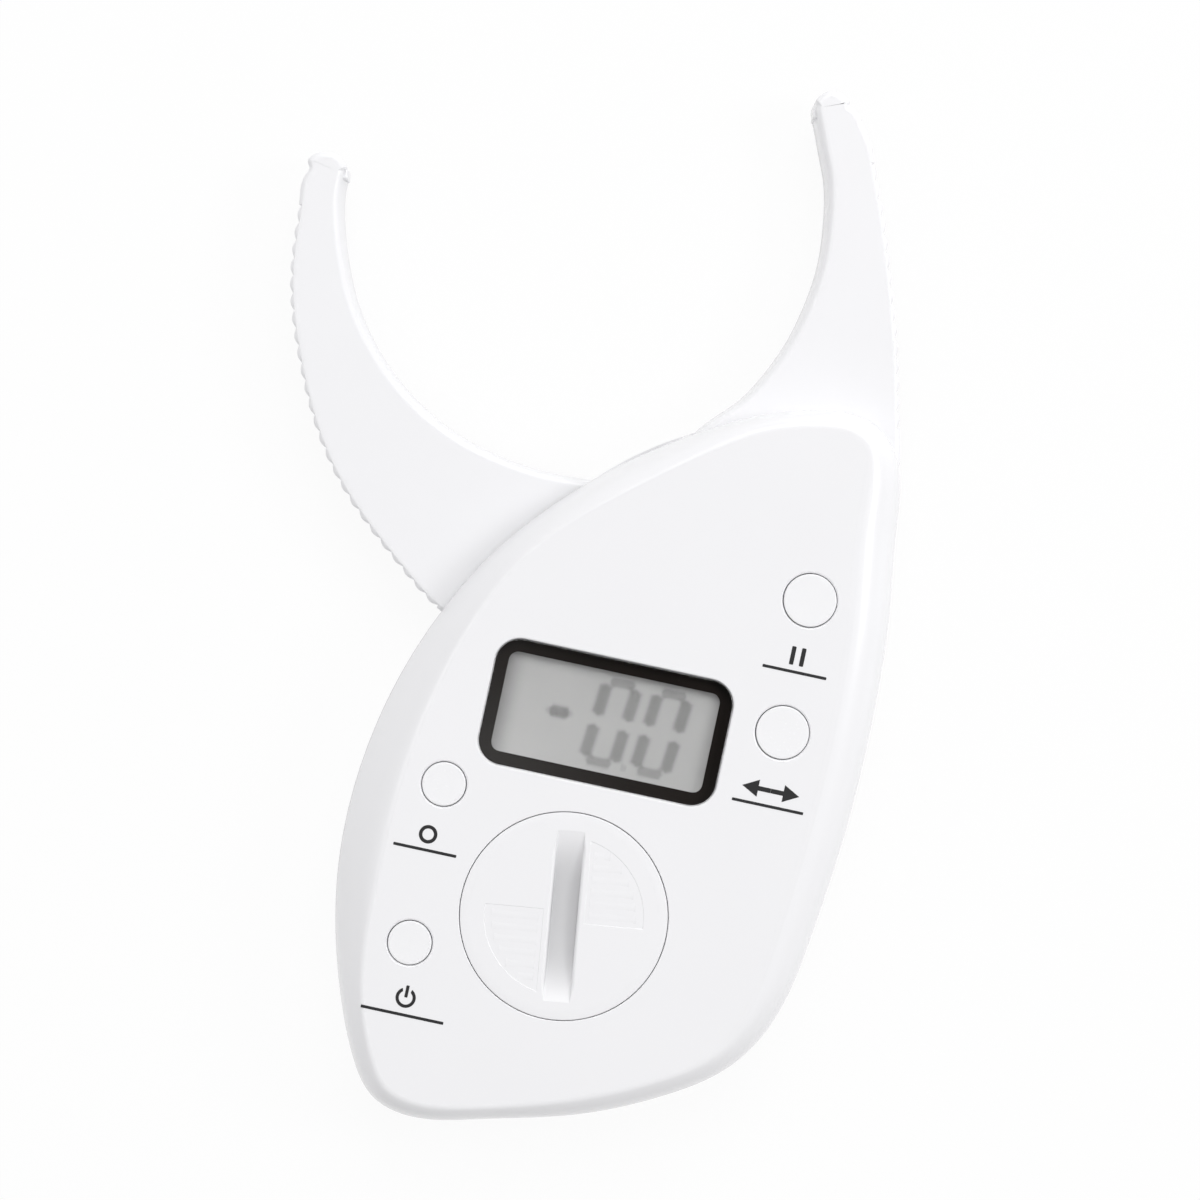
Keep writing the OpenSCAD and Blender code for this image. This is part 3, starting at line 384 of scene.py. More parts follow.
def right_hand(points: np.ndarray, closed: bool) -> np.ndarray:
    """The unit vector to the right of the path at each point."""
    if closed:
        ahead = np.roll(points, -1, axis=0) - np.roll(points, 1, axis=0)
    else:
        ahead = np.gradient(points, axis=0)
    side = np.stack([ahead[:, 1], -ahead[:, 0]], axis=1)
    return side / np.linalg.norm(side, axis=1)[:, None]


def at_height(points: np.ndarray, z: Union[float, np.ndarray]) -> np.ndarray:
    """Flat points with a height added."""
    return np.column_stack([points, np.broadcast_to(z, len(points))])


def rounded_rectangle(
    width: float, height: float, radius: float, centre: Point, steps: int = 12
) -> np.ndarray:
    """The outline of a rectangle with round corners, anticlockwise."""
    rows = []
    for k in range(4):
        sx, sy = (1, 1, -1, -1)[k], (-1, 1, 1, -1)[k]
        middle = (centre[0] + sx * (width / 2 - radius), centre[1] + sy * (height / 2 - radius))
        for a in np.radians(np.linspace(90 * k - 90, 90 * k, steps)):
            rows.append((middle[0] + radius * math.cos(a), middle[1] + radius * math.sin(a)))
    return np.array(rows)


def arc(centre: Point, radius: float, start: float, end: float, steps: int) -> list[Point]:
    """Points on an arc between two angles, in degrees."""
    turns = np.radians(np.linspace(start, end, steps))
    return [(centre[0] + radius * math.cos(a), centre[1] + radius * math.sin(a)) for a in turns]


def unit_circle(steps: int) -> np.ndarray:
    """Points round a circle of radius 1."""
    turns = np.arange(steps) * 2 * math.pi / steps
    return np.stack([np.cos(turns), np.sin(turns)], axis=1)


def rounding(radius: float, top: float, rim: float, end: float, steps: int) -> list[Point]:
    """Points that round an edge over towards the top.

    Args:
        radius: where the rounding starts.
        top: the height that it reaches at 90 degrees.
        rim: the rounding's radius; it opens outwards above 0 and closes inwards below 0.
        end: the angle at which it stops, in degrees.
        steps: how many points it has.

    Returns:
        The radius and height of each point, from the lowest up.
    """
    high = abs(rim)
    turns = np.radians(np.linspace(0, end, steps))
    return [(radius + rim * (1 - math.cos(a)), top - high + high * math.sin(a)) for a in turns]


def ring_faces(n: int, rings: int, closed: bool = False) -> list[tuple[int, ...]]:
    """Faces between each ring of n points and the next, and back to the first if closed."""
    return [
        (k * n + i, k * n + (i + 1) % n, (k + 1) % rings * n + (i + 1) % n, (k + 1) % rings * n + i)
        for k in range(rings if closed else rings - 1)
        for i in range(n)
    ]


def add_object(name: str, data: bpy.types.ID) -> Thing:
    """A new object in the scene that holds the data."""
    thing = bpy.data.objects.new(name, data)
    bpy.context.scene.collection.objects.link(thing)
    return thing


def give(mesh: bpy.types.Mesh, name: str, values: Sequence) -> None:
    """Gives each point of a mesh a value, or a vector where the values are rows of three."""
    rows = np.array(values, float)
    kind, part = ("FLOAT", "value") if rows.ndim == 1 else ("FLOAT_VECTOR", "vector")
    mesh.attributes.new(name, kind, "POINT").data.foreach_set(part, rows.ravel())


class Draft:
    """A closed body in millimetres, as points and faces."""

    def __init__(self, points: Sequence[Sequence[float]], faces: Sequence[Sequence[int]]) -> None:
        """Keeps the points and the faces between them."""
        self.points = points
        self.faces = faces

    @classmethod
    def loft(cls, rings: Sequence[np.ndarray]) -> "Draft":
        """A body through rings of equal length, closed by a flat face at each end."""
        n, m = len(rings[0]), len(rings)
        ends = [tuple(range(n))[::-1], tuple(range((m - 1) * n, m * n))]
        return cls(np.concatenate(rings), ring_faces(n, m) + ends)

    @classmethod
    def extrude(cls, outline: np.ndarray, low: float, high: float) -> "Draft":
        """A flat outline carried from one height to another."""
        return cls.loft([at_height(outline, low), at_height(outline, high)])

    @classmethod
    def revolve(cls, profile: Sequence[Point], centre: Point, steps: int = 96) -> "Draft":
        """A round body about an upright axis.

        Args:
            profile: radius and height of each ring, from the lowest up; the ends are closed flat.
            centre: where the axis stands.
            steps: points round each ring.

        Returns:
            The body.
        """
        circle = unit_circle(steps)
        return cls.loft([at_height(np.array(centre) + circle * r, z) for r, z in profile])

    @classmethod
    def rod(cls, radius: float, low: float, high: float, at: Point, steps: int = 96) -> "Draft":
        """An upright round rod between two heights."""
        return cls.revolve([(radius, low), (radius, high)], at, steps)

    @classmethod
    def band(cls, outer: np.ndarray, inner: np.ndarray, low: float, high: float) -> "Draft":
        """A flat ring between two outlines of equal length."""
        corners = ((outer, low), (outer, high), (inner, high), (inner, low))
        rings = [at_height(flat, z) for flat, z in corners]
        return cls(np.concatenate(rings), ring_faces(len(outer), len(rings), True))

    def made(self, name: str) -> Thing:
        """The body as an object in metres, with its faces pointing outwards."""
        mesh = bpy.data.meshes.new(name)
        points = [[c * MM for c in p] for p in self.points]
        mesh.from_pydata(points, [], [list(map(int, f)) for f in self.faces])
        shape = bmesh.new()
        shape.from_mesh(mesh)
        bmesh.ops.recalc_face_normals(shape, faces=shape.faces)
        shape.to_mesh(mesh)
        shape.free()
        return add_object(name, mesh)


def settle(thing: Thing) -> Thing:
    """Turns an object's modifiers into its plain mesh."""
    graph = bpy.context.evaluated_depsgraph_get()
    mesh = bpy.data.meshes.new_from_object(
        thing.evaluated_get(graph), preserve_all_data_layers=True, depsgraph=graph
    )
    thing.modifiers.clear()
    old, thing.data = thing.data, mesh
    bpy.data.meshes.remove(old)
    return thing


def carve(body: Thing, how: Carve, *bodies: Union[Draft, Thing]) -> Thing:
    """Joins tool bodies to a body, cuts them out of it, or keeps what they share.

    Args:
        body: the object that is changed.
        how: what the tools do.
        *bodies: the tool bodies in order, of which objects are used up.

    Returns:
        The same object.
    """
    tools = [tool.made("tool") if isinstance(tool, Draft) else tool for tool in bodies]
    for tool in tools:
        modifier = body.modifiers.new("carve", "BOOLEAN")
        modifier.operation, modifier.object, modifier.solver = how.value, tool, "MANIFOLD"
    settle(body)
    for tool in tools:
        bpy.data.meshes.remove(tool.data)
    return body


def smooth(thing: Thing, angle: float = 25.0) -> Thing:
    """Shades a body smoothly between edges sharper than the angle, by the faces' areas."""
    shape = bmesh.new()
    shape.from_mesh(thing.data)
    bmesh.ops.remove_doubles(shape, verts=shape.verts, dist=0.0002 * MM)
    for f in shape.faces:
        f.smooth = True
    for e in shape.edges:
        e.smooth = len(e.link_faces) == 2 and e.calc_face_angle(0) < math.radians(angle)
    shape.to_mesh(thing.data)
    shape.free()
    modifier = thing.modifiers.new("weights", "WEIGHTED_NORMAL")
    modifier.keep_sharp = True
    return settle(thing)


@dataclass(frozen=True)
class NodeBox:
    """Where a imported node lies, in millimetres."""

    low: Vector
    high: Vector

    @classmethod
    def of(cls, node: str) -> "NodeBox":
        """The box of the node with that name."""
        low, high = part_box(node)
        return cls(low / MM, high / MM)

    @property
    def middle(self) -> Point:
        """The box's middle, seen from the front."""
        return ((self.low.x + self.high.x) / 2, (self.low.y + self.high.y) / 2)

    @property
    def size(self) -> Vector:
        """The box's sizes along X, Y and Z."""
        return self.high - self.low


# Finishes ------------------------------------------------------------------------------------


@dataclass(frozen=True)
class Finish:
    """A surface finish: its name, the record's slot, its colour and how rough it is."""

    name: str
    slot: str
    colour: Colour
    roughness: float

    def material(self) -> bpy.types.Material:
        """The finish's material, built when it is first asked for."""
        found = bpy.data.materials.get(self.name)
        if found is None:
            tree = ShaderTree(self.name)
            self.build(tree)
            found = tree.material
        return found

    def build(self, tree: ShaderTree) -> None:
        """Adds the finish's nodes to the tree."""
        raise NotImplementedError

    def shade(self, factor: float) -> Colour:
        """The finish's colour, darker or lighter by a factor."""
        return tuple(min(1.0, c * factor) for c in self.colour)


@dataclass(frozen=True)
class MouldedPlastic(Finish):
    """Moulded plastic with a faint ripple, a fine grain, the odd speck and painted shade in a groove where
    one is given.
    """

    ripple: float = 0.0016
    grain: float = 0.0004
    dirt: float = 0.02
    # Heights over which a groove gets painted shade, darker with depth; none leaves it out.
    groove_shade: Optional[tuple[float, float]] = None

    def build(self, tree: ShaderTree) -> None:
        """Clouds the colour, varies the gloss, ripples the surface and paints shade into a groove, darker
        with depth.
        """
        cloud, fine, wave = tree.noise(16, 3), tree.noise(0.35, 3), tree.noise(3.2, 1)
        specks = tree.specks(5.0, 0.09, self.dirt)
        colour = tree.mix(cloud, self.shade(0.985), self.shade(1.005))
        colour = tree.mix(specks * 0.5, colour, self.shade(0.45))
        rough = self.roughness + (fine - 0.5) * 0.08 + (cloud - 0.5) * 0.05
        if self.groove_shade:
            # Painted shade: the colour darkens with depth below the face, in place of the shade inside a
            # groove.
            sunk_shade = tree.axis("Z").ramp(*self.groove_shade)
            colour = tree.mix(sunk_shade, colour, self.shade(0.68))
            rough = rough + sunk_shade * 0.3
        tree.surface(
            {
                "Base Color": colour,
                "Roughness": rough,
                "Normal": tree.bump(wave + fine * (self.grain / self.ripple), self.ripple),
                "IOR": 1.49,
            }
        )


@dataclass(frozen=True)
class BareMetal(Finish):
    """Bare or plated metal with marks along one direction."""

    drawn: Place = (12, 1, 1)
    depth: float = 0.0012

    def build(self, tree: ShaderTree) -> None:
        """Draws fine marks out along the metal and tarnishes it in soft patches."""
        marks, patches = tree.noise(0.12, 4, self.drawn), tree.noise(2.2, 3)
        tree.surface(
            {
                "Base Color": tree.mix(patches, self.shade(0.82), self.shade(1.06)),
                "Metallic": 1.0,
                "Roughness": self.roughness + (marks - 0.5) * 0.22 + (patches - 0.5) * 0.1,
                "Normal": tree.bump(marks, self.depth),
            }
        )


@dataclass(frozen=True)
class BoardLacquer(Finish):
    """Solder lacquer over copper tracks."""

    track: float = 0.9

    def build(self, tree: ShaderTree) -> None:
        """Shows tracks as paler, raised lines under the lacquer."""
        wander = tree.noise(4.0, 2)
        lines = abs(((tree.axis("X") + wander * 2.4) * (math.pi / self.track)).sine())
        runs = lines.ramp(0.82, 0.9) * tree.noise(7.5, 1).ramp(0.42, 0.5)
        tree.surface(
            {
                "Base Color": tree.mix(runs, self.colour, self.shade(1.7)),
                "Roughness": self.roughness + (tree.noise(0.3) - 0.5) * 0.1,
                "Normal": tree.bump(runs, 0.03),
                "Coat Weight": 0.4,
            }
        )


@dataclass(frozen=True)
class Layered(Finish):
    """Even material in fine layers, such as a rubber strip, resin or fired ceramic."""

    pitch: float = 0.1
    contrast: float = 0.12

    def build(self, tree: ShaderTree) -> None:
        """Stripes the colour along X and roughens the surface finely."""
        stripe = (tree.axis("X") * (math.pi / self.pitch)).sine() * 0.5 + 0.5
        fine = tree.noise(0.25, 3)
        shade = stripe * self.contrast + fine * self.contrast
        tree.surface(
            {
                "Base Color": tree.mix(shade, self.colour, self.shade(0.4)),
                "Roughness": self.roughness + (fine - 0.5) * 0.15,
                "Normal": tree.bump(fine, 0.01),
            }
        )


@dataclass(frozen=True)
class DisplayFace(Finish):
    """The grey reflector of a display, darker along the left, where its frame shades it."""

    left: float = -13.6
    reach: float = 3.0

    def build(self, tree: ShaderTree) -> None:
        """Grains the reflector and fades it darker towards the left border, as a painted shadow of the
        frame.
        """
        fleck, cloud = tree.noise(0.09, 2), tree.noise(6.0, 2)
        # Painted shadow of the frame: darkest at the left border and gone by reach millimetres in.
        side = tree.axis("X").ramp(self.left + self.reach, self.left - 0.3)
        colour = tree.mix(fleck * 0.5 + cloud * 0.5, self.shade(0.93), self.shade(1.07))
        tree.surface(
            {
                "Base Color": tree.mix(side * 0.9, colour, self.shade(0.5)),
                "Roughness": self.roughness + (fleck - 0.5) * 0.1,
                "Normal": tree.bump(fleck, 0.002),
            }
        )


@dataclass(frozen=True)
class CrystalStroke(Finish):
    """A darkened stroke of liquid crystal, whose fading rim is partly a soft edge and partly a painted
    shadow on the reflector behind, and which is fainter if thin.
    """

    density: float = 0.52

    def build(self, tree: ShaderTree) -> None:
        """Takes how much shows from the stroke's own rim and width attributes."""
        rim = Wire(tree, tree.node("ShaderNodeAttribute", {"attribute_name": "ink"}).outputs["Fac"])
        stretch = tree.node("ShaderNodeAttribute", {"attribute_name": "stretch"}).outputs["Vector"]
        width = Wire(tree, tree.node("ShaderNodeSeparateXYZ", {}, {0: stretch}).outputs["Y"])
        cloud = tree.noise(1.2, 2)
        tree.surface(
            {
                "Base Color": tree.mix(cloud, self.colour, self.shade(1.25)),
                "Roughness": self.roughness,
                # The rim's fade paints the stroke's soft edge and its shadow on the reflector.
                "Alpha": rim.ramp(0.0, 1.0) * width.ramp(0.2, 1.1) * self.density,
            }
        )


@dataclass(frozen=True)
class PrintInk(Finish):
    """Pad-printed ink with a slightly uneven edge and the odd pale speck."""

    dust: float = 0.0
    index: float = 1.45

    def build(self, tree: ShaderTree) -> None:
        """Varies the ink's density and lays sparse dust on it."""
        fine, cloud = tree.noise(0.12, 3), tree.noise(5.0, 2)
        colour = tree.mix(cloud, self.colour, self.shade(1.5))
        if self.dust:
            motes = tree.specks(1.1, 0.1, self.dust)
            colour = tree.mix(motes * cloud.ramp(0.45, 0.6), colour, (0.5, 0.5, 0.49))
        tree.surface(
            {
                "Base Color": colour,
                "Roughness": self.roughness + (fine - 0.5) * 0.15,
                "Normal": tree.bump(fine, 0.002),
                "IOR": self.index,
            }
        )


@dataclass(frozen=True)
class ClearPane(Finish):
    """Clear plastic that lets the lamps through to what lies under it."""

    def build(self, tree: ShaderTree) -> None:
        """Makes clear glass, with plain see-through for shadow rays."""
        smear = tree.noise(9.0, 3).ramp(0.35, 0.75)
        glass = tree.principled(
            {
                "Base Color": self.colour,
                "Roughness": self.roughness + smear * 0.02,
                "IOR": 1.49,
                "Transmission Weight": 1.0,
            }
        )
        clear = tree.node("ShaderNodeBsdfTransparent", {}, {"Color": (*self.shade(0.97), 1.0)}).outputs[0]
        shadow = tree.node("ShaderNodeLightPath").outputs["Is Shadow Ray"]
        tree.show(tree.node("ShaderNodeMixShader", {}, {0: shadow, 1: glass, 2: clear}).outputs[0])


COVER_WHITE = MouldedPlastic("cover_white", "cover_plastic", (0.885, 0.883, 0.9), 0.24)
JAW_WHITE = MouldedPlastic("jaw_white", "cover_plastic", (0.878, 0.877, 0.894), 0.3)
# The cap's coin slot gets painted shade, darker with depth below the face.
CAP_WHITE = MouldedPlastic("cap_white", "cover_plastic", (0.885, 0.883, 0.9), 0.3, groove_shade=(16.05, 14.75))
BUTTON_WHITE = MouldedPlastic("button_white", "button_plastic", (0.9, 0.9, 0.915), 0.26, ripple=0.003)
HOLDER_WHITE = MouldedPlastic("holder_white", "holder_plastic", (0.76, 0.765, 0.78), 0.5)
SWITCH_BLACK = MouldedPlastic("black_plastic", "switch_black", (0.03, 0.03, 0.033), 0.45)
SCREW_STEEL = BareMetal("screw_steel", "steel", (0.56, 0.57, 0.59), 0.34, (1, 1, 6))
CELL_STEEL = BareMetal("cell_case", "cell_steel", (0.66, 0.665, 0.67), 0.3, (10, 1, 1))
CRYSTAL_CAN = BareMetal("plated_can", "crystal_can", (0.7, 0.71, 0.73), 0.28, (14, 1, 1))
PAD_GOLD = BareMetal("pad_gold", "contact_gold", (0.78, 0.55, 0.24), 0.3, (1, 1, 1))
SPRING_BRONZE = BareMetal("spring_bronze", "contact_bronze", (0.72, 0.62, 0.4), 0.34, (8, 1, 1))
BOARD_GREEN = BoardLacquer("board_green", "board", (0.012, 0.09, 0.035), 0.3)
RUBBER_STRIP = Layered("rubber_strip", "strip_rubber", (0.62, 0.3, 0.36), 0.6, 0.18, 0.4)
RESIN_BLACK = Layered("resin_black", "chip_black", (0.012, 0.012, 0.013), 0.35, 3.0, 0.1)
CHIP_CERAMIC = Layered("chip_ceramic", "ceramic_chip", (0.36, 0.25, 0.15), 0.45, 0.4, 0.25)
DISPLAY_GREY = DisplayFace("display_grey", "lcd_glass", (0.398, 0.398, 0.395), 0.55)
STROKE_GREY = CrystalStroke("stroke_grey", "lcd_segment", (0.2, 0.2, 0.2), 0.6)
BORDER_BLACK = PrintInk("border_black", "mask_ink", (0.02, 0.0155, 0.0135), 0.5, 0.16, 1.1)
LEGEND_BLACK = PrintInk("legend_black", "mark_ink", (0.012, 0.012, 0.013), 0.5)
WINDOW_CLEAR = ClearPane("clear_pane", "window_clear", (1.0, 1.0, 1.0), 0.0)


def add_piece(
    thing: Thing, body: Body, finish: Finish, stands_for: Sequence[str] = ()
) -> Thing:
    """Gives a finished piece its material and its body, and reports it.

    Args:
        thing: the piece.
        body: the body that it rides on.
        finish: its finish.
        stands_for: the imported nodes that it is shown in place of.

    Returns:
        The piece.
    """
    thing.data.materials.clear()
    thing.data.materials.append(finish.material())
    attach(thing, body.value)
    if stands_for:
        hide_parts(*stands_for)
    LOG.info("%s: %d faces on %s", thing.name, len(thing.data.polygons), body.value)
    return thing


# Repeated shapes -----------------------------------------------------------------------------


@dataclass
class Copies:
    """Copies of one shape, each at its own place, turn and stretch."""

    name: str
    places: Sequence[Place]
    turns: Sequence[float]
    stretches: Sequence[Place]

    @staticmethod
    def _tree() -> GeometryTree:
        """The tree that puts the shape on each point of a mesh."""
        tree = GeometryTree("copies_on_points", {"Shape": "NodeSocketObject", "Scale": "NodeSocketFloat"})
        shape = tree.node("GeometryNodeObjectInfo", {}, {"Object": tree.entry["Shape"]})
        turn = tree.node("ShaderNodeCombineXYZ", {}, {"Z": tree.attribute("turn")})
        size = tree.node(
            "ShaderNodeVectorMath",
            {"operation": "SCALE"},
            {0: tree.attribute("stretch", "FLOAT_VECTOR"), "Scale": tree.number("Scale")},
        )
        placed = tree.node(
            "GeometryNodeInstanceOnPoints",
            {},
            {
                "Points": tree.entry["Geometry"],
                "Instance": shape.outputs["Geometry"],
                "Rotation": turn.outputs[0],
                "Scale": size.outputs[0],
            },
        )
        tree.close(placed.outputs[0])
        return tree

    def make(self, shape: Thing, finish: Finish) -> Thing:
        """Puts the copies down as one plain mesh.

        Args:
            shape: the object to copy, which is removed afterwards.
            finish: the finish of every copy.

        Returns:
            The copies as one object.
        """
        mesh = bpy.data.meshes.new(self.name)
        mesh.from_pydata([[c * MM for c in p] for p in self.places], [], [])
        give(mesh, "turn", np.radians(self.turns))
        give(mesh, "stretch", self.stretches)
        thing = add_object(self.name, mesh)
        self._tree().run(thing, {"Shape": shape, "Scale": 1.0, "Material": finish.material()})
        bpy.data.meshes.remove(shape.data)
        return thing


# Housing -------------------------------------------------------------------------------------


@dataclass
class Housing:
    """The front and rear covers.

    The outline runs anticlockwise from the fixed jaw's outer corner. Each point has the width of
    the shaped front edge there, that edge's form from a flat bevel at 0 to a full round at 1, and
    how far the rear cover stands out under it.
    """

    outline: Sequence[tuple[float, float, float, float, float]] = (
        (29.7, 18.4, 4.6, 1, 0), (27.6, 21.9, 3.6, 1, 0), (23.4, 24.1, 2.8, 1, 0), (18.0, 23.8, 2.5, 1, 0),
        (10.6, 21.5, 2.5, 1, 0), (2.9, 17.3, 2.9, 0.8, 0.45), (-4.8, 11.9, 3.3, 0.6, 0.45),
        (-11.7, 5.6, 3.1, 0.5, 0), (-17.8, -1.6, 3.2, 0.45, 0), (-22.8, -10.2, 4.1, 0.45, 0),
        (-26.5, -19.6, 5.1, 0.45, 0), (-28.8, -29.8, 5.7, 0.45, 0), (-29.5, -40.4, 5.8, 0.5, 0),
        (-28.5, -50.2, 4.9, 0.5, 0), (-25.7, -60.6, 3.3, 0.6, 0), (-22.5, -68.2, 3.0, 0.7, 0),
        (-18.9, -72.8, 3.0, 0.8, 0), (-13.7, -74.3, 2.8, 0.8, 0), (-5.0, -72.8, 2.4, 0.8, 0),
        (6.8, -69.7, 2.9, 0.8, 0), (17.6, -64.8, 3.0, 0.8, 0), (24.8, -59.4, 3.3, 0.9, 0),
        (28.9, -52.4, 4.2, 1, 0), (31.2, -41.3, 4.8, 1, 0), (32.6, -28.0, 5.1, 1, 0),
        (33.0, -12.4, 5.3, 1, 0), (32.2, 1.2, 5.4, 1, 0), (30.9, 11.0, 5.3, 1, 0),
    )
    swing: Sequence[Point] = (
        (-44, 0), (-33, -5.2), (-26.3, -9.95), (-23.2, -11.7), (-19, -13.4), (2, 8), (2, 30), (-30, 30),
    )
    block: Sequence[Point] = (
        (3.1, 18), (3.6, 16), (8.8, 12), (29.2, 12), (30.4, 18.5), (30, 30), (3.1, 30),
    )
    screws: Sequence[Point] = ((25.6, 8.6), (-21.6, -21.2), (22.8, -49.6), (-16.6, -65.6))
    posts: Sequence[Point] = ((14.2, 3.2), (20.0, -30.6), (-19.6, -44.2), (-9.2, -8.2))
    front: float = 16.0
    seam: float = 6.0
    seam_bevel: float = 0.12
    wall: float = 1.8
    edge_start: float = 9.2
    slot_low: float = 2.7
    slot_high: float = 9.0
    rear_edge: float = 1.6
    crease_reach: float = 0.3
    button_gap: float = 0.1
    cap_gap: float = 0.1
    screw_boss: float = 3.0
    screw_pilot: float = 1.15
    board_post: float = 2.0
    board_pilot: float = 0.85
    cap_ledge: float = 13.8
    floor: float = 1.6
    pivot: float = 3.0
    pivot_top: float = 7.35
    pivot_pilot: float = 1.05
    shoulder: float = 4.2
    steps: int = 16
    ring: np.ndarray = field(init=False)
    side: np.ndarray = field(init=False)

    def __post_init__(self) -> None:
        """Draws the outline's curve and its outward directions."""
        self.ring = spline(np.array(self.outline, float), self.steps, True)
        self.ring[:, 4] = np.maximum(self.ring[:, 4], 0)
        self.side = right_hand(self.ring[:, :2], True)

    def inset(self, distance: Union[float, np.ndarray], z: Union[float, np.ndarray]) -> np.ndarray:
        """The outline drawn in by a distance, at a height."""
        drawn = np.broadcast_to(distance, len(self.ring))[:, None]
        return at_height(self.ring[:, :2] - self.side * drawn, z)

    def edge(self, share: float) -> tuple[np.ndarray, np.ndarray]:
        """How far in and how high the shaped front edge has come at a share of its way."""
        width, form = self.ring[:, 2], self.ring[:, 3]
        turn = share * math.pi / 2
        drawn = width * (share + form * (1 - math.cos(turn) - share))
        rise = (self.front - self.edge_start) * (share + form * (math.sin(turn) - share))
        return drawn, self.edge_start + rise

    def front_rings(self) -> list[np.ndarray]:
        """Rings of the front cover's outer form, from the seam to the front face."""
        rings = [self.inset(self.seam_bevel, self.seam), self.inset(0, self.seam + self.seam_bevel)]
        rings += [self.inset(*self.edge(t)) for t in np.linspace(0, 0.93, 16)]
        start = rings[-1]
        corner = self.inset(self.ring[:, 2], self.front)
        end = self.inset(self.ring[:, 2] + self.crease_reach, self.front)
        for t in np.linspace(0, 1, 7)[1:]:
            rings.append((1 - t) ** 2 * start + 2 * t * (1 - t) * corner + t * t * end)
        return rings

    def rear_rings(self) -> list[np.ndarray]:
        """Rings of the rear cover's outer form, from the rear face to the seam."""
        flare, r = self.ring[:, 4], self.rear_edge
        rings = [self.inset(r + 0.2 - flare, 0.0)]
        for a in np.radians(np.linspace(8, 90, 10)):
            rings.append(self.inset(r * (1 - math.sin(a)) - flare, r * (1 - math.cos(a))))
        rings += [self.inset(-flare, self.slot_low), self.inset(0, self.seam - 0.4)]
        return rings + [self.inset(0, self.seam - self.seam_bevel), self.inset(self.seam_bevel, self.seam)]

    def hole(self, middle: Point, radius: float, rim: float, low: float) -> Draft:
        """A round hole through the front face, whose rim is rounded over.

        Args:
            middle: the hole's middle.
            radius: its radius under the rim.
            rim: the rounding's radius.
            low: how far down the hole goes.

        Returns:
            The hole as a tool body.
        """
        profile = [(radius, low), *rounding(radius, self.front, rim, 78, 9)]
        last = profile[-1]
        profile.append((last[0] + 1.2, last[1] + 1.2 * math.tan(math.radians(12))))
        return Draft.revolve(profile, middle, 128)

    def screw_well(self, at: Point) -> list[Draft]:
        """The stepped hole of one case screw from the rear, with its softened mouth."""
        return [
            Draft.rod(1.25, -1, self.seam + 1, at, 48),
            Draft.revolve([(2.75, -0.3), (2.25, 0.2), (2.25, 1.7)], at, 64),
        ]

    def front_cover(self) -> Thing:
        """The front cover's shell with its holes, window recess, bosses and jaw slot."""
        window, cap = NodeBox.of("display_window"), NodeBox.of("battery_cap")
        border = NodeBox.of("window_mask")
        cover = Draft.loft(self.front_rings()).made("front_cover_shell")
        ceiling = self.front - self.wall
        space = [self.inset(self.wall, self.seam - 1), self.inset(self.wall + 0.3, self.edge_start)]
        space.append(self.inset(self.ring[:, 2] + 0.6, ceiling))
        carve(cover, Carve.CUT, Draft.loft(space))
        core = [self.inset(0.8, self.seam - 4), self.inset(0.9, self.edge_start)]
        core.append(self.inset(self.ring[:, 2] + 0.3, self.front - 0.9))
        frame_top = rounded_rectangle(window.size.x + 3.2, window.size.y + 3.2, 4.7, window.middle)
        inside = [Draft.rod(self.screw_boss, self.seam - 2, self.front, p, 48) for p in self.screws]
        inside += [Draft.rod(self.board_post, 10.7, self.front, p, 40) for p in self.posts]
        inside.append(Draft.rod(cap.size.x / 2 + 1.6, self.cap_ledge, 14.4, cap.middle))
        bosses = Draft.extrude(frame_top, self.cap_ledge, ceiling + 0.2).made("bosses")
        carve(bosses, Carve.JOIN, *inside)
        carve(bosses, Carve.KEEP, Draft.loft(core))
        carve(cover, Carve.JOIN, bosses)
        tools = [Draft.extrude(np.array(self.swing, float), self.seam - 1, self.slot_high)]
        tools += self._window_tools(window, border)
        for name in ("hold_button", "unit_button", "zero_button", "power_button"):
            box = NodeBox.of(name)
            radius = box.size.x / 2 - 0.9 + self.button_gap
            tools.append(self.hole(box.middle, radius, 0.3, ceiling - 1))
        radius = cap.size.x / 2 + self.cap_gap
        tools.append(self.hole(cap.middle, radius, 0.12, 14.8))
        tools.append(Draft.rod(12, 12.8, 15.3, cap.middle))
        tools += [Draft.rod(self.screw_pilot, 3, 9.4, p, 40) for p in self.screws]
        tools += [Draft.rod(self.board_pilot, 9.7, 13.7, p, 32) for p in self.posts]
        return smooth(carve(cover, Carve.CUT, *tools))

    def _window_tools(self, window: NodeBox, border: NodeBox) -> list[Draft]:
        """The window's recess with its softened rim, and the opening down to the display."""
        width, height = window.size.x + 0.2, window.size.y + 0.2
        rings = [at_height(rounded_rectangle(width, height, 3.2, window.middle), border.low.z)]
        for out, z in ((0, 15.78), (0.06, 15.92), (0.2, 16.01), (0.9, 16.12)):
            flat = rounded_rectangle(width + 2 * out, height + 2 * out, 3.2 + out, window.middle)
            rings.append(at_height(flat, z))
        view = rounded_rectangle(window.size.x - 2.9, window.size.y - 2.9, 1.65, window.middle)
        return [Draft.loft(rings), Draft.extrude(view, border.low.z - 2, border.low.z + 1)]

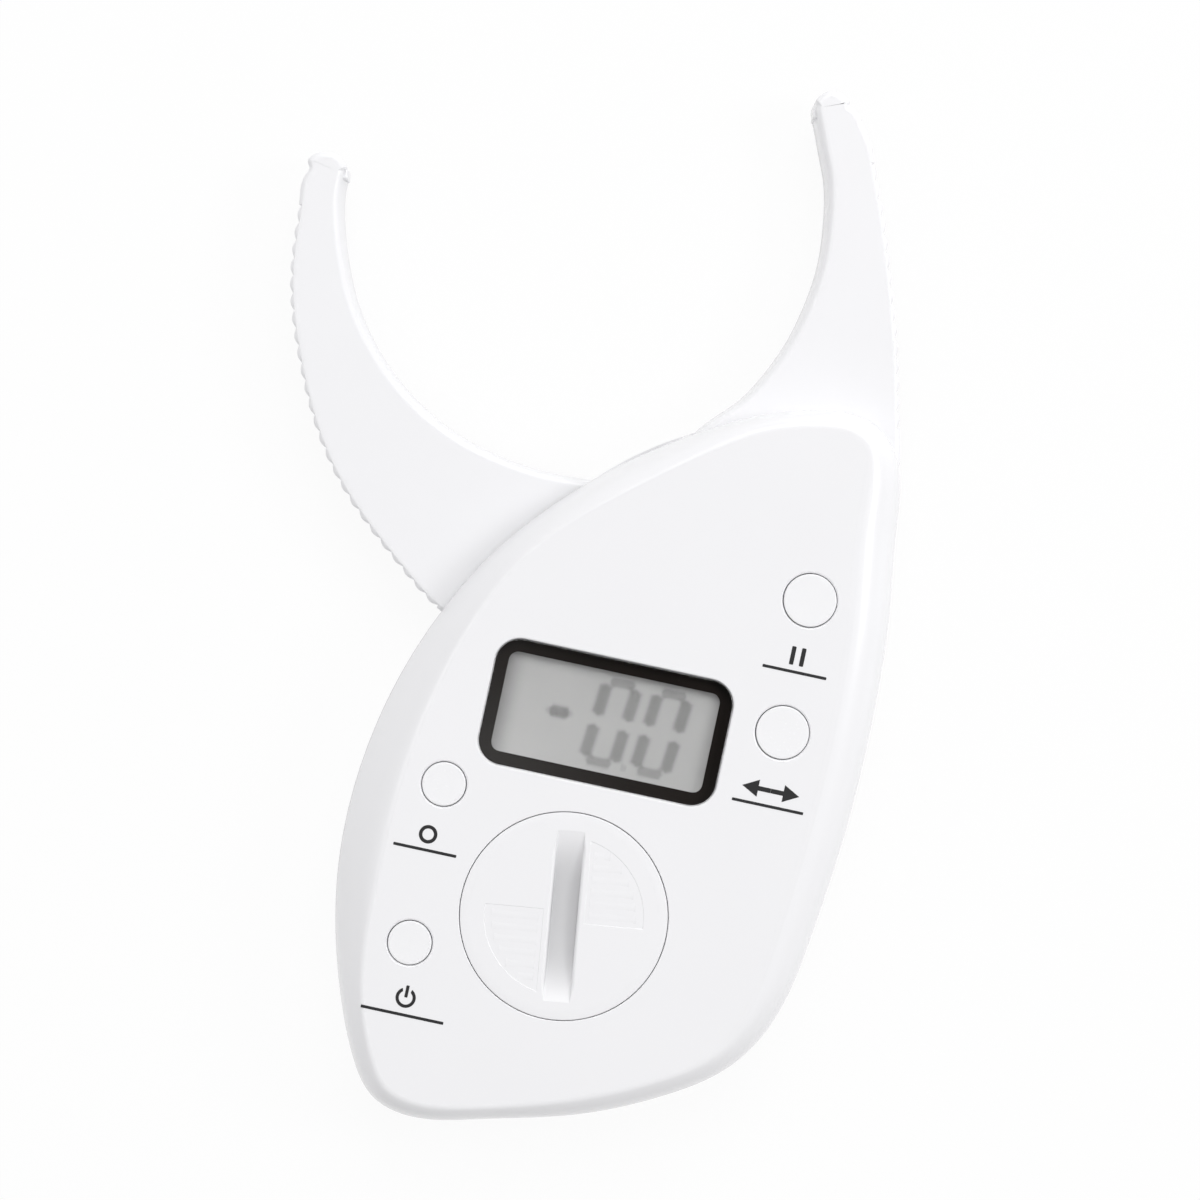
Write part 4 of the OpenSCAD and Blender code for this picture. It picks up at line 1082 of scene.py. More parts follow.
    def rear_cover(self) -> Thing:
        """The rear cover's shell with its screw wells, bosses, pivot post and jaw slot."""
        cover = Draft.loft(self.rear_rings()).made("rear_cover_shell")
        space = [self.inset(self.wall + 0.6, self.wall), self.inset(self.wall, self.wall + 1)]
        carve(cover, Carve.CUT, Draft.loft([*space, self.inset(self.wall, self.seam + 1)]))
        low, top = self.floor, self.pivot_top
        inside = [Draft.rod(self.screw_boss, low, self.seam - 2, p, 48) for p in self.screws]
        inside.append(Draft.rod(self.shoulder, low, 3.0, (0, 0)))
        inside.append(Draft.rod(self.pivot, low + 0.4, top, (0, 0)))
        carve(cover, Carve.JOIN, *inside)
        block = np.array(self.block, float)
        wider = block + 0.15 * np.sign(block - block.mean(axis=0))
        tools = [Draft.extrude(np.array(self.swing, float), self.slot_low, self.seam + 2)]
        tools.append(Draft.extrude(wider, 2.85, self.seam + 2))
        tools.append(Draft.rod(self.pivot_pilot, 2.5, 8, (0, 0), 32))
        for p in self.screws:
            tools += self.screw_well(p)
        carve(cover, Carve.CUT, *tools)
        post = Draft.rod(self.pivot, low, top, (0, 0))
        carve(cover, Carve.JOIN, Draft.rod(self.shoulder, low, 3.0, (0, 0)), post)
        return smooth(cover)

    def screw_heads(self) -> Thing:
        """The four case screws, as copies of one pan head with a cross recess."""
        head = [(1.1, 9.2), (1.1, 1.7), (2.1, 1.7), (2.1, 0.62), (1.95, 0.42), (1.6, 0.31), (0.9, 0.3)]
        screw = Draft.revolve(head[::-1], (0, 0), 48).made("screw")
        arm = np.array([(-1.25, -0.22), (1.25, -0.22), (1.25, 0.22), (-1.25, 0.22)])
        arms = (arm, arm[:, ::-1])
        cross = [Draft.loft([at_height(a * 1.12, 0.1), at_height(a * 0.8, 1.05)]) for a in arms]
        carve(screw, Carve.CUT, *cross)
        smooth(screw, 35)
        places = [(x, y, 0.0) for x, y in self.screws]
        copies = Copies("case_screw_set", places, (12, 57, 31, 74), [(1, 1, 1)] * len(places))
        return copies.make(screw, SCREW_STEEL)

    def make(self) -> None:
        """Builds and dresses the covers and their screws."""
        add_piece(self.front_cover(), Body.HOUSING, COVER_WHITE, ["front_cover"])
        add_piece(self.rear_cover(), Body.HOUSING, COVER_WHITE, ["rear_cover"])
        add_piece(self.screw_heads(), Body.HOUSING, SCREW_STEEL, ["case_screws"])


# Jaws ----------------------------------------------------------------------------------------


@dataclass
class Jaw:
    """A curved jaw: a flat ribbon between two edges, scalloped along the outer one.

    The edges run from the hub or the housing to the tip. The pad is the middle of the contact
    pad's face and the angle, in degrees, that it faces.
    """

    name: str
    outer: Sequence[Point]
    inner: Sequence[Point]
    scallops: tuple[float, float]
    pad: tuple[float, float, float]
    turn: int
    low: float = 3.0
    high: float = 8.7
    bevel: float = 0.55
    draft: float = 0.5
    tip: float = 2.4
    pitch: float = 2.26
    depth: float = 0.38
    pad_length: float = 1.4
    stations: int = 900

    def _sections(self) -> list[tuple[float, float, float, float]]:
        """Inset, height and shares of the scallops and the draft of each ring, from the rear up."""
        low, high, bevel = self.low, self.high, self.bevel
        return [
            (0.9, low, 0.0, 0.0), (0.5, low, 0.0, 0.0), (0.22, low + 0.1, 0.45, 0.0),
            (0.06, low + 0.3, 0.85, 0.0), (0.0, low + 0.5, 1.0, 0.05), (0.0, high - 0.55, 1.0, 0.95),
            (0.04, high - 0.42, 0.95, 1.0), (0.12, high - 0.33, 0.8, 1.0),
            (bevel - 0.1, high - 0.05, 0.1, 1.0), (bevel + 0.05, high, 0.0, 1.0),
            (bevel + 0.35, high, 0.0, 1.0),
        ]

    @staticmethod
    def _scallop_tree() -> GeometryTree:
        """The tree that presses scallops into the ribbon's outer edge."""
        tree = GeometryTree("scalloped_edge", {"Pitch": "NodeSocketFloat", "Depth": "NodeSocketFloat"})
        run, reach = Wire(tree, tree.attribute("run")), Wire(tree, tree.attribute("reach"))
        wave = abs((run * math.pi / tree.number("Pitch")).sine())
        cut = (1 - wave) * reach * tree.number("Depth")
        shift = tree.node(
            "ShaderNodeVectorMath",
            {"operation": "SCALE"},
            {0: tree.attribute("inward", "FLOAT_VECTOR"), "Scale": cut},
        )
        moved = tree.node(
            "GeometryNodeSetPosition", {}, {"Geometry": tree.entry["Geometry"], "Offset": shift.outputs[0]}
        )
        tree.close(moved.outputs[0])
        return tree

    def _path(self) -> np.ndarray:
        """The ribbon's outline: up the outer edge, round the tip and down the inner edge."""
        steps, n = 24, self.stations
        points = spline(np.array([*self.outer, *self.inner[::-1]], float), steps, False)
        half = (len(self.outer) - 1) * steps + steps // 2
        return np.concatenate([evenly(points[: half + 1], n), evenly(points[half:], n)])

    def _inward(self, path: np.ndarray) -> np.ndarray:
        """The direction into the ribbon at each point, evened out over about a millimetre."""
        side = -right_hand(path, False) * self.turn
        window = np.hanning(17) / np.hanning(17).sum()
        padded = np.pad(side, ((8, 8), (0, 0)), "edge")
        even = np.stack([np.convolve(padded[:, k], window, "valid") for k in (0, 1)], axis=1)
        return even / np.linalg.norm(even, axis=1)[:, None]

    def ribbon(self, finish: Finish) -> Thing:
        """The jaw's ribbon with its scallops pressed in and its pad joined on.

        Args:
            finish: the finish that the tree sets.

        Returns:
            The ribbon.
        """
        n = self.stations
        path = self._path()
        inward = self._inward(path)
        run, left = run_along(path[:n]), run_along(path[n:])
        first, last = self.scallops
        pressed = np.concatenate([(run > first) & (run < last), np.zeros(n, bool)])
        drawn = np.concatenate([np.zeros(n), np.clip((left - self.tip) / 0.5, 0, 1)]) * self.draft
        rings, reach = [], []
        for inset, z, scalloped, drafted in self._sections():
            rings.append(at_height(path + inward * (inset + drawn * drafted)[:, None], z))
            reach.append(pressed * scalloped)
        thing = self._closed(rings).made(self.name)
        levels, mesh = len(rings), thing.data
        along = np.concatenate([run - first, np.zeros(n)]) * MM
        give(mesh, "run", np.tile(along, levels))
        give(mesh, "reach", np.concatenate(reach))
        give(mesh, "inward", np.tile(at_height(inward, 0.0), (levels, 1)))
        sizes = {"Pitch": self.pitch * MM, "Depth": self.depth * MM, "Material": finish.material()}
        self._scallop_tree().run(thing, sizes)
        for name in ("run", "reach", "inward"):
            thing.data.attributes.remove(thing.data.attributes[name])
        return carve(thing, Carve.JOIN, self._pad())

    def _closed(self, rings: Sequence[np.ndarray]) -> Draft:
        """The ribbon through its rings, with four-sided faces across its front and rear."""
        draft = Draft.loft(rings)
        n, top = len(rings[0]), (len(rings) - 1) * len(rings[0])
        faces = list(draft.faces[:-2])
        for i in range(self.stations - 1):
            a, b, c, d = i, i + 1, n - 2 - i, n - 1 - i
            faces += [(a, d, c, b), (top + a, top + b, top + c, top + d)]
        return Draft(draft.points, faces)

    def _pad(self) -> Draft:
        """The contact pad inside the tip, with a softened front edge."""
        x, y, angle = self.pad
        out = np.array([math.cos(math.radians(angle)), math.sin(math.radians(angle))])
        along = np.array([-out[1], out[0]]) * self.pad_length / 2
        rings = []
        for reach, length, z in (
            (-0.12, 1.0, self.low + 0.3), (0.0, 1.0, self.low + 0.42), (0.0, 1.0, self.high - 1.45),
            (-0.07, 0.9, self.high - 1.25), (-0.25, 0.75, self.high - 1.15),
        ):
            face, back = np.array([x, y]) + out * reach, np.array([x, y]) - out * 1.2
            corner = out * 0.15
            flat = [back - along, face - corner - along * length, face - along * length * 0.85]
            flat += [face + along * length * 0.85, face - corner + along * length, back + along]
            rings.append(at_height(np.array(flat), z))
        return Draft.loft(rings)


@dataclass
class Jaws:
    """The fixed jaw, which is one moulding with the front cover, and the moving jaw."""

    fixed: Jaw = field(
        default_factory=lambda: Jaw(
            "fixed_jaw",
            (
                (28.0, 13.0), (29.7, 18.6), (29.05, 22.55), (27.9, 27.55), (26.75, 32.4), (25.3, 37.35),
                (23.75, 42.25), (22.1, 47.1), (20.3, 51.9), (18.25, 56.8), (17.3, 58.8), (15.8, 60.95),
                (14.5, 62.25), (13.85, 62.6), (13.8, 62.95), (13.3, 63.4), (12.4, 63.85), (11.7, 63.95),
            ),
            (
                (9.6, 13.0), (3.2, 17.0), (7.8, 23.0), (9.9, 26.2), (12.45, 32.0), (13.75, 37.45),
                (14.25, 42.0), (13.85, 47.95), (12.6, 53.5), (11.5, 56.1), (10.3, 59.0), (9.6, 60.6),
                (9.35, 61.6), (9.5, 62.3), (10.0, 63.1), (10.8, 63.75),
            ),
            (11.3, 45.2),
            (9.55, 60.75, 190.0),
            1,
        )
    )
    moving: Jaw = field(
        default_factory=lambda: Jaw(
            "moving_jaw_arm",
            (
                (-4.0, -9.6), (-10.5, -11.9), (-17.0, -12.6), (-23.3, -11.1), (-29.2, -7.1),
                (-34.3, -2.9), (-39.4, 2.1), (-44.4, 9.3), (-47.8, 16.4), (-50.4, 23.7), (-51.6, 31.3),
                (-51.9, 36.2), (-51.8, 39.5), (-51.55, 40.4), (-51.9, 41.2), (-51.3, 42.2), (-50.3, 42.75),
                (-49.4, 42.87),
            ),
            (
                (1.6, 10.3), (-5.0, 9.7), (-12.0, 9.2), (-18.4, 9.6), (-24.25, 10.9), (-28.35, 12.5),
                (-34.55, 16.4), (-39.0, 20.75), (-42.2, 25.3), (-44.45, 30.15), (-46.05, 35.0),
                (-46.75, 39.6), (-46.85, 41.2), (-47.4, 42.1), (-48.3, 42.7),
            ),
            (20.78, 77.28),
            (-46.65, 40.75, 8.0),
            -1,
        )
    )
    hub_radius: float = 11.0
    pocket: tuple[float, float] = (4.72, 6.5)

    def make(self, housing: Housing) -> None:
        """Builds and dresses both jaws.

        Args:
            housing: the covers, which hold the fixed jaw's block.
        """
        fixed = self.fixed.ribbon(COVER_WHITE)
        block = Draft.extrude(np.array(housing.block, float), 3.0, 9.2).made("block")
        carve(block, Carve.KEEP, Draft.loft([housing.inset(0.9, 0), housing.inset(0.9, housing.front)]))
        carve(fixed, Carve.JOIN, block)
        add_piece(smooth(fixed), Body.HOUSING, COVER_WHITE, ["front_cover"])
        moving = self.moving.ribbon(JAW_WHITE)
        low, high = self.moving.low, self.moving.high
        carve(moving, Carve.JOIN, Draft.rod(self.hub_radius, low, high, (0, 0), 160))
        well = Draft.rod(5.6, high - 1.4, high + 1, (0, 0))
        bore = Draft.rod(3.05, low - 1, high + 1, (0, 0))
        circle = unit_circle(96)
        pocket = Draft.band(circle * self.pocket[1], circle * self.pocket[0], low - 1, 6.0)
        carve(moving, Carve.CUT, bore, well, pocket)
        add_piece(smooth(moving), Body.JAW, JAW_WHITE, ["moving_jaw"])


# Display -------------------------------------------------------------------------------------


@dataclass
class Display:
    """The window, its dark border, the display's face and the strokes that it shows."""

    border_width: float = 1.6
    corner: float = 3.1
    stroke_width: float = 1.3
    # How far the fading rim spreads: a soft edge and a painted shadow on the reflector.
    blur_and_shadow: float = 0.55
    lean: float = 0.095
    digits: Sequence[float] = (0.66, 7.16)
    upright: tuple[float, float, float] = (1.9, 0.62, 4.65)
    bar: tuple[float, float, float] = (5.1, 1.55, 0.78)

    def _outline(self, box: NodeBox, drawn_in: float, corner: float) -> np.ndarray:
        """A node's outline, drawn in and with corners of that radius."""
        width, height = box.size.x - 2 * drawn_in, box.size.y - 2 * drawn_in
        return rounded_rectangle(width, height, corner, box.middle, 20)

    def window(self) -> Thing:
        """The clear window with a fine bevel round its front face."""
        box = NodeBox.of("display_window")
        top = box.high.z
        steps = ((0, box.low.z), (0, top - 0.12), (0.04, top - 0.03), (0.14, top))
        rings = [at_height(self._outline(box, d, self.corner - d), z) for d, z in steps]
        return smooth(Draft.loft(rings).made("display_pane"), 50)

    def border(self) -> Thing:
        """The printed border under the window."""
        box, b = NodeBox.of("window_mask"), self.border_width
        outer = self._outline(box, 0, self.corner)
        inner = self._outline(box, b, self.corner - b - 0.3)
        return smooth(Draft.band(outer, inner, box.low.z, box.high.z).made("window_border"), 40)

    def _stroke(self) -> Thing:
        """One flat stroke of unit length along X: a pointed bar inside a rim that fades, which paints a soft
        edge and the stroke's shadow on the reflector.
        """
        half = self.stroke_width / 2
        points, rim = [], []
        # The outer rings fade the stroke out: a soft edge and a painted shadow on the reflector.
        for grow, ink in ((-0.38, 1.0), (-0.12, 0.82), (0.4 * self.blur_and_shadow, 0.34), (self.blur_and_shadow, 0.0)):
            w, e, tip = half + grow, 0.5 + grow * 0.2, 0.1
            points += [(-e, 0), (tip - e, -w), (e - tip, -w), (e, 0), (e - tip, w), (tip - e, w)]
            rim += [ink] * 6
        faces = [tuple(range(6))]
        for k, i in ((k, i) for k in range(3) for i in range(6)):
            j = (i + 1) % 6
            faces.append((k * 6 + i, (k + 1) * 6 + i, (k + 1) * 6 + j, k * 6 + j))
        mesh = bpy.data.meshes.new("stroke")
        mesh.from_pydata([(x * MM, y * MM, 0) for x, y in points], [], faces)
        give(mesh, "ink", rim)
        return add_object("stroke", mesh)

    def _marks(self) -> list[tuple[Point, Point, float]]:
        """Ends and width of every stroke about the display's middle: minus, noughts and point."""
        side, near, far = self.upright
        height, reach, thin = self.bar
        marks = [((-7.65, 0.0), (-4.15, 0.0), 0.62), ((-7.05, 0.0), (-4.75, 0.0), 1.0)]
        marks.append(((3.05, -5.2), (3.75, -5.2), 0.55))
        for x in self.digits:
            for sy in (-1, 1):
                lean = self.lean * sy * height
                marks.append(((x - reach + lean, sy * height), (x + reach + lean, sy * height), thin))
                for sx in (-1, 1):
                    ends = [(x + sx * side + self.lean * sy * y, sy * y) for y in (near, far)]
                    marks.append((ends[0], ends[1], 1.0))
        return marks

    def strokes(self) -> Thing:
        """The minus, the two noughts and the point, as copies of one stroke."""
        box = NodeBox.of("display_glass")
        middle_y, z = box.middle[1], box.high.z + 0.03
        places, turns, stretches = [], [], []
        for k, (p, q, width) in enumerate(self._marks()):
            d = np.subtract(q, p)
            places.append(((p[0] + q[0]) / 2, middle_y + (p[1] + q[1]) / 2, z + 0.002 * k))
            turns.append(math.degrees(math.atan2(d[1], d[0])))
            stretches.append((float(np.hypot(*d)), width, 1.0))
        copies = Copies("display_strokes", places, turns, stretches)
        return copies.make(self._stroke(), STROKE_GREY)

    def make(self) -> None:
        """Builds and dresses the display's pieces."""
        add_piece(self.window(), Body.HOUSING, WINDOW_CLEAR, ["display_window"])
        add_piece(self.border(), Body.HOUSING, BORDER_BLACK, ["window_mask"])
        add_piece(self.strokes(), Body.HOUSING, STROKE_GREY, ["display_digits"])


# Buttons -------------------------------------------------------------------------------------


@dataclass
class PushButton:
    """A round button with a softened edge, a faintly dished face and its flange."""

    node: str
    body: Body
    stem: float = 1.7
    flange: float = 0.9
    flange_low: float = 13.35
    flange_high: float = 14.15
    edge: float = 0.16
    dish: float = 0.05

    def make(self) -> None:
        """Builds and dresses the button."""
        box = NodeBox.of(self.node)
        wide, top, low, high = box.size.x / 2, box.high.z, self.flange_low, self.flange_high
        radius = wide - self.flange
        profile = [(self.stem, box.low.z), (self.stem, low), (wide, low), (wide, high), (radius, high)]
        profile += rounding(radius, top, -self.edge, 90, 9)
        profile += [(radius * k, top - self.dish * (1 - k * k)) for k in (0.8, 0.6, 0.4, 0.2, 0.04)]
        thing = Draft.revolve(profile, box.middle, 128).made(self.node + "_face")
        add_piece(smooth(thing, 40), self.body, BUTTON_WHITE, [self.node])


# Battery cap ---------------------------------------------------------------------------------


@dataclass
class BatteryCap:
    """The round cap over the coin cell, with its coin slot and two ribbed grip fields."""

    slot_length: float = 21.4
    slot_width: float = 3.35
    slot_depth: float = 1.4
    slot_turn: float = 97.0
    slot_rim: float = 0.42
    rim: float = 0.12
    field_radius: float = 9.9
    field_depth: float = 0.05
    rib_pitch: float = 1.5
    rib_width: float = 1.0
    field_side: float = 2.6

    def _slot(self, middle: Point, top: float) -> Draft:
        """The coin slot, as deep as a coin's edge and with rounded-over sides."""
        half, depth = self.slot_length / 2, self.slot_depth
        coin = (half**2 + depth**2) / (2 * depth)
        rings, centre, wall = [], np.array(middle), self.slot_width / 2
        turn = math.radians(self.slot_turn)
        along = np.array([math.cos(turn), math.sin(turn)])
        across = np.array([-along[1], along[0]])
        for u in np.sin(np.linspace(-math.pi / 2, math.pi / 2, 61)) * half * 0.998:
            d = math.sqrt(coin**2 - u**2) - (coin - depth)
            rim = min(self.slot_rim, d * 0.8)
            side = [(wall - 0.35, -d), (wall - 0.12, -d + 0.08 * min(1, d)), (wall, -d + 0.3 * min(1, d))]
            side += [*rounding(wall, 0.0, rim, 80, 6), (wall + rim + 0.35, 0.25)]
            section = side + [(-v, z) for v, z in side[::-1]]
            rings.append(np.array([(*(centre + along * u + across * v), top + z) for v, z in section]))
        return Draft.loft(rings)

    def _field_outline(self, middle: Point, flip: int, grow: float) -> np.ndarray:
        """The outline of one grip field, between the slot and the field's arc."""
        r, side = self.field_radius + grow, self.field_side - grow
        start = math.degrees(math.acos(side / r))
        points = arc((0, 0), r, -start, 4 + grow * 5, 40)
        points.append((side, points[-1][1]))
        turn = math.radians(self.slot_turn - 90 + (180 if flip < 0 else 0))
        c, s = math.cos(turn), math.sin(turn)
        return np.array([(middle[0] - x * c - y * s, middle[1] - x * s + y * c) for x, y in points[::-1]])

    def _ribs(self, middle: Point, top: float) -> Thing:
        """The ribs of both grip fields, as copies of one rounded bar."""
        rise = 0.018 - self.field_depth
        section = [(-0.5, -0.3), (-0.5, rise - 0.024), (-0.3, rise - 0.01), (-0.12, rise)]
        section += [(-v, z) for v, z in section[::-1]]
        ends = ((-0.5, 0.2), (-0.44, 1), (0.44, 1), (0.5, 0.2))
        rings = [np.array([(x, v * self.rib_width, z * k) for v, z in section]) for x, k in ends]
        bar = smooth(Draft.loft(rings).made("rib"), 60)
        places, turns, stretches = [], [], []
        rows = int((self.field_radius - 0.8) / self.rib_pitch)
        for flip in (0, 180):
            turn = math.radians(self.slot_turn - 90 + flip)
            c, s = math.cos(turn), math.sin(turn)
            for row in range(rows):
                y = -0.35 - row * self.rib_pitch
                far = math.sqrt(self.field_radius**2 - y * y) - 0.9
                near = self.field_side + 0.5
                if far - near < 1:
                    continue
                x = (far + near) / 2
                places.append((middle[0] - x * c - y * s, middle[1] - x * s + y * c, top))
                turns.append(math.degrees(turn))
                stretches.append((far - near, 1.0, 1.0))
        return Copies("cap_grip_ribs", places, turns, stretches).make(bar, CAP_WHITE)

    def make(self) -> None:
        """Builds and dresses the cap and its ribs."""
        box = NodeBox.of("battery_cap")
        radius, top, low = box.size.x / 2, box.high.z, box.low.z
        profile = [(10.6, low), (11.7, low), (11.7, top - 1.1), (radius, top - 1.1)]
        profile += [*rounding(radius, top, -self.rim, 84, 8), (radius - 1.2, top)]
        cap = Draft.revolve(profile, box.middle, 192).made("battery_cap_face")
        tools = [Draft.rod(10.5, low - 1, top - 1.9, box.middle)]
        tools.append(self._slot(box.middle, top))
        for flip in (1, -1):
            flat = self._field_outline(box.middle, flip, 0.0)
            high_ring = at_height(self._field_outline(box.middle, flip, 0.12), top + 0.03)
            low_ring = at_height(flat, top - self.field_depth)
            tools.append(Draft.loft([low_ring, high_ring]))
        carve(cap, Carve.CUT, *tools)
        add_piece(smooth(cap, 30), Body.CAP, CAP_WHITE, ["battery_cap"])
        add_piece(self._ribs(box.middle, top), Body.CAP, CAP_WHITE)


# Legends -------------------------------------------------------------------------------------


class Sign(Enum):
    """The plain signs printed over the bars beside the buttons."""

    PAUSE = "pause"
    SWAP = "swap"
    RING = "ring"
    POWER = "power"


@dataclass
class Legend:
    """A printed sign over a bar."""

    sign: Sign
    x: float
    y: float
    length: float
    thick: float = 0.36

    def _parts(self) -> list[Draft]:
        """The legend's flat solids."""
        front, ink, w = 16.0, 0.03, self.thick
        parts = [self._box(self.x, self.y, self.length, w)]
        if self.sign is Sign.PAUSE:
            parts += [self._box(self.x + k * w * 1.75, self.y + w * 5.5, w * 1.5, w * 6.4) for k in (-1, 1)]
        elif self.sign is Sign.SWAP:
            for d in (-1, 1):
                shape = [(4, 0), (-1.6, 3), (-1.6, 0.8), (-6, 0.8), (-6, -0.8), (-1.6, -0.8), (-1.6, -3)]
                at = (self.x + d * self.length * 0.24, self.y + w * 5.4)
                flat = np.array([(at[0] + d * w * px, at[1] + w * py) for px, py in shape])
                parts.append(Draft.extrude(flat, front, front + ink))
        elif self.sign is Sign.RING:
            at, circle = np.array((self.x, self.y + w * 5.5)), unit_circle(64)
            parts.append(Draft.band(at + circle * w * 3.2, at + circle * w * 2, front, front + ink))
        else:
            at = (self.x, self.y + w * 6)
            ring = arc(at, w * 3.5, 118, 422, 56) + arc(at, w * 2.4, 416, 124, 56)
            parts.append(Draft.extrude(np.array(ring), front, front + ink))
            parts.append(self._box(at[0], at[1] + w * 2.2, w * 1.1, w * 4.2))
        return parts

    @staticmethod
    def _box(x: float, y: float, width: float, height: float) -> Draft:
        """A flat bar of ink with softened corners."""
        flat = rounded_rectangle(width, height, min(width, height) * 0.22, (x, y), 5)
        return Draft.extrude(flat, 16.0, 16.03)

    def draft(self) -> Draft:
        """The whole legend as one set of solids."""
        points, faces = [], []
        for part in self._parts():
            start = len(points)
            points += [list(p) for p in part.points]
            faces += [[start + i for i in f] for f in part.faces]
        return Draft(points, faces)


@dataclass
class Legends:
    """All printed signs of the front face."""

    signs: Sequence[Legend] = (
        Legend(Sign.PAUSE, 21.65, -9.12, 8.1),
        Legend(Sign.SWAP, 21.9, -26.15, 9.05),
        Legend(Sign.RING, -18.65, -40.45, 8.0),
        Legend(Sign.POWER, -17.1, -61.1, 10.5),
    )

    def make(self) -> None:
        """Prints each sign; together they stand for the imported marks."""
        for sign in self.signs:
            thing = sign.draft().made("legend_" + sign.sign.value)
            add_piece(smooth(thing, 40), Body.HOUSING, LEGEND_BLACK, ["printed_marks"])


# Inner pieces --------------------------------------------------------------------------------


@dataclass
class InnerPieces:
    """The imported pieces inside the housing, which keep their shapes and get finishes."""

    finishes: Mapping[Finish, Sequence[str]] = field(
        default_factory=lambda: {
            SCREW_STEEL: ("pivot_washer", "pivot_screw", "torsion_spring", "board_screws"),
            BOARD_GREEN: ("rotor_board", "circuit_board"),
            PAD_GOLD: ("rotor_electrodes", "stator_electrodes"),
            CHIP_CERAMIC: ("chip_capacitors",),
            RESIN_BLACK: ("controller_chip",),
            CRYSTAL_CAN: ("clock_crystal",),
            HOLDER_WHITE: ("display_holder",),
            RUBBER_STRIP: ("connector_strips",),
            DISPLAY_GREY: ("display_glass",),
            SWITCH_BLACK: ("switch_bodies", "hold_plunger", "unit_plunger", "zero_plunger", "power_plunger"),
            CELL_STEEL: ("coin_cell",),
            SPRING_BRONZE: ("negative_contact", "positive_contact"),
        }
    )

    def make(self) -> None:
        """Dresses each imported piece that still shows."""
        for finish, names in self.finishes.items():
            for name in names:
                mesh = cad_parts[name].data
                mesh.materials.clear()
                mesh.materials.append(finish.material())
                LOG.info("%s: dressed", name)


# Studio --------------------------------------------------------------------------------------


@dataclass
class Lamp:
    """A soft square lamp that points at the caliper."""

    name: str
    place: Place
    size: float
    power: float

    def make(self, target: Vector) -> None:
        """Hangs the lamp and turns it to the target, both in metres."""
        data = bpy.data.lights.new(self.name, "AREA")
        data.shape, data.size, data.energy = "SQUARE", self.size, self.power
        lamp = add_object(self.name, data)
        lamp.location = self.place
        lamp.rotation_euler = (target - lamp.location).to_track_quat("-Z", "Y").to_euler()


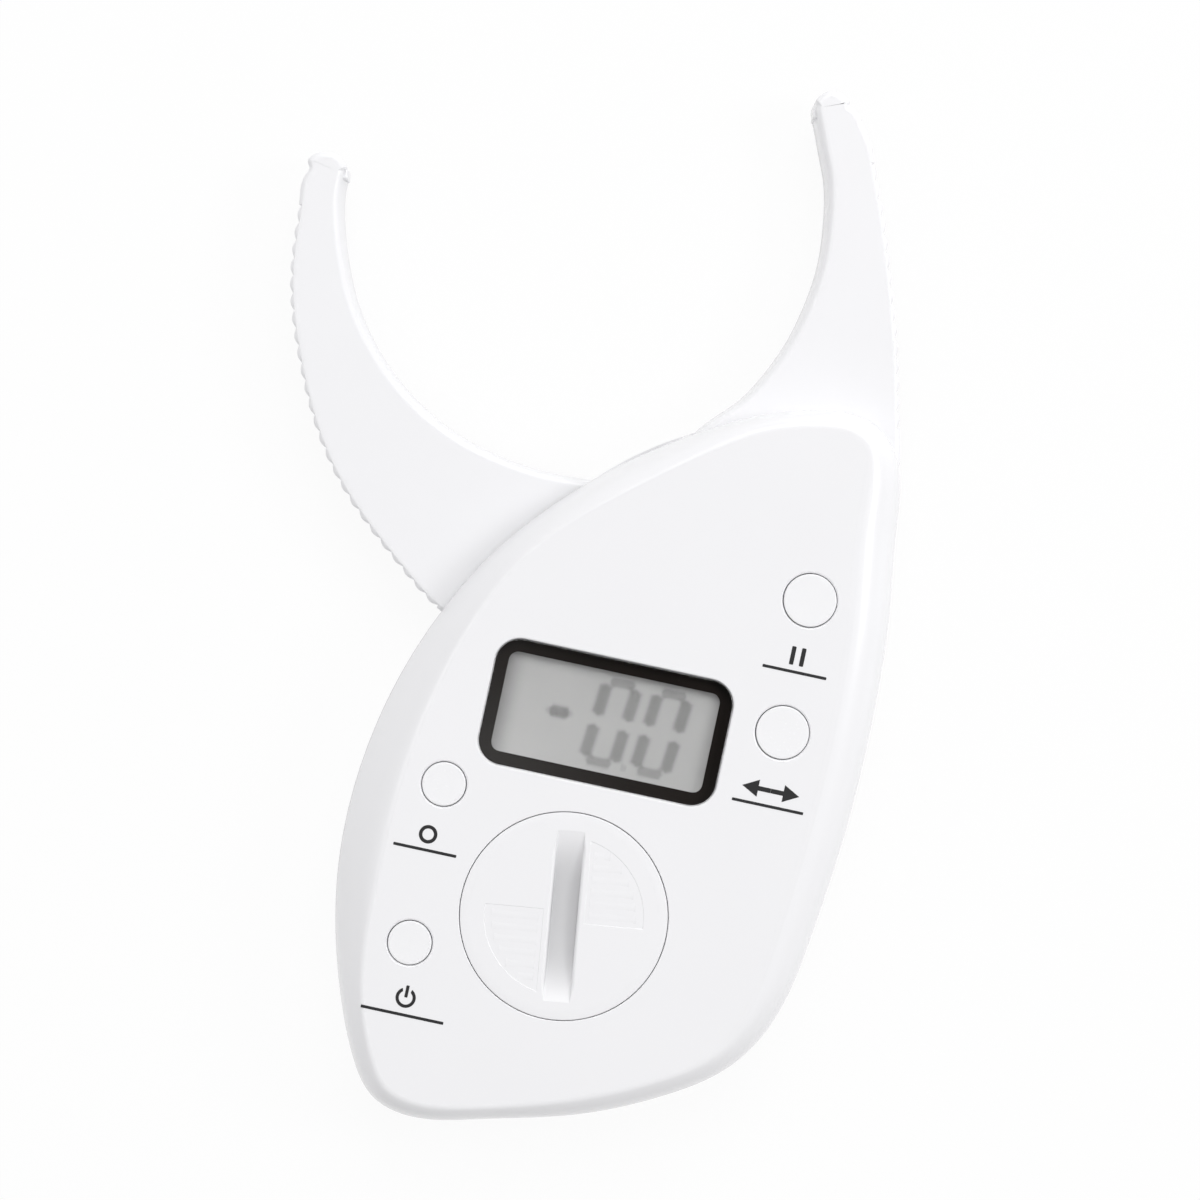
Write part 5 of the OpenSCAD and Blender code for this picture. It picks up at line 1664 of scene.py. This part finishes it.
@dataclass
class Studio:
    """The pale floor, the soft light and the camera above the front face."""

    picture: float = 152.4
    distance: float = 400.0
    focus: float = 8.0
    roll: float = 12.17
    axis: Point = (-3.89, -5.46)
    lamps: Sequence[Lamp] = (
        Lamp("softbox", (-0.02, 0.72, 0.88), 0.8, 5.75),
        Lamp("key", (0.62, 0.2, 0.55), 0.25, 1.8),
        Lamp("strip", (-0.6, 0.05, 0.6), 0.3, 0.5),
    )
    sky: float = 0.56

    def _floor(self) -> None:
        """A wide pale floor that looks white and keeps the caliper's shadow."""
        mesh = bpy.data.meshes.new("floor")
        mesh.from_pydata([(-3, -3, 0), (3, -3, 0), (3, 3, 0), (-3, 3, 0)], [], [(0, 1, 2, 3)])
        mesh.transform(Matrix.Translation((0, 0, -0.02 * MM)))
        floor = add_object("floor", mesh)
        tree = ShaderTree("floor_paper")
        cloud = tree.noise(90, 2)
        paper = tree.principled(
            {"Base Color": tree.mix(cloud, (0.86, 0.86, 0.86), (0.88, 0.88, 0.88)), "Roughness": 0.9}
        )
        path = tree.node("ShaderNodeLightPath").outputs
        seen = Wire(tree, path["Is Camera Ray"]).larger(Wire(tree, path["Is Glossy Ray"]))
        seen = seen.larger(Wire(tree, path["Is Transmission Ray"]))
        white = tree.node("ShaderNodeEmission", {}, {"Color": (1, 1, 1, 1), "Strength": 1.0}).outputs[0]
        tree.show(tree.node("ShaderNodeMixShader", {}, {0: seen * 0.92, 1: paper, 2: white}).outputs[0])
        mesh.materials.append(tree.material)

    def _world(self) -> None:
        """Even light from all round, seen as white, which dims over the camera and towards +Y."""
        world = bpy.data.worlds.new("studio_world")
        world.use_nodes = True
        tree = NodeTree(world.node_tree)
        tree.tree.nodes.clear()
        seen = Wire(tree, tree.node("ShaderNodeLightPath").outputs["Is Camera Ray"])
        way = tree.node("ShaderNodeTexCoord").outputs["Generated"]
        ways = tree.node("ShaderNodeSeparateXYZ", {}, {0: way})
        x, y, z = (Wire(tree, ways.outputs[name]) for name in "XYZ")
        way = x * 0.6 + y * 0.8
        over = z.ramp(0.93, 0.985) * way.ramp(-0.07, 0.0) * 0.88
        dark = over - z.ramp(0.985, 0.992) * way.ramp(-0.03, -0.07) * 0.7
        strength = (self.sky + seen * (1 - self.sky)) * (1 - dark * (1 - seen))
        back = tree.node("ShaderNodeBackground", {}, {"Color": (1, 1, 1, 1), "Strength": strength})
        tree.node("ShaderNodeOutputWorld", {}, {"Surface": back.outputs[0]})
        bpy.context.scene.world = world

    def _camera(self) -> None:
        """The camera straight above the front face, turned as the photograph is."""
        data = bpy.data.cameras.new("camera")
        data.sensor_width = 36.0
        data.lens = data.sensor_width * self.distance / self.picture
        data.clip_start, data.clip_end = 0.01, 20.0
        camera = add_object("camera", data)
        camera.location = (self.axis[0] * MM, self.axis[1] * MM, (self.distance + self.focus) * MM)
        camera.rotation_euler = (0.0, 0.0, math.radians(self.roll))
        bpy.context.scene.camera = camera

    def make(self) -> None:
        """Sets up the stage."""
        bpy.context.scene.view_settings.view_transform = "Standard"
        self._floor()
        self._world()
        for lamp in self.lamps:
            lamp.make(Vector((0, -0.01, 0)))
        self._camera()


def main() -> None:
    """Builds the caliper's pieces in order, then the stage."""
    logging.basicConfig(level=logging.INFO, format="%(message)s")
    Studio().make()
    housing = Housing()
    housing.make()
    Jaws().make(housing)
    Display().make()
    for name, body in (
        ("hold_button", Body.HOLD_KEY),
        ("unit_button", Body.UNIT_KEY),
        ("zero_button", Body.ZERO_KEY),
        ("power_button", Body.POWER_KEY),
    ):
        PushButton(name, body).make()
    BatteryCap().make()
    Legends().make()
    InnerPieces().make()


if __name__ == "__main__":
    main()
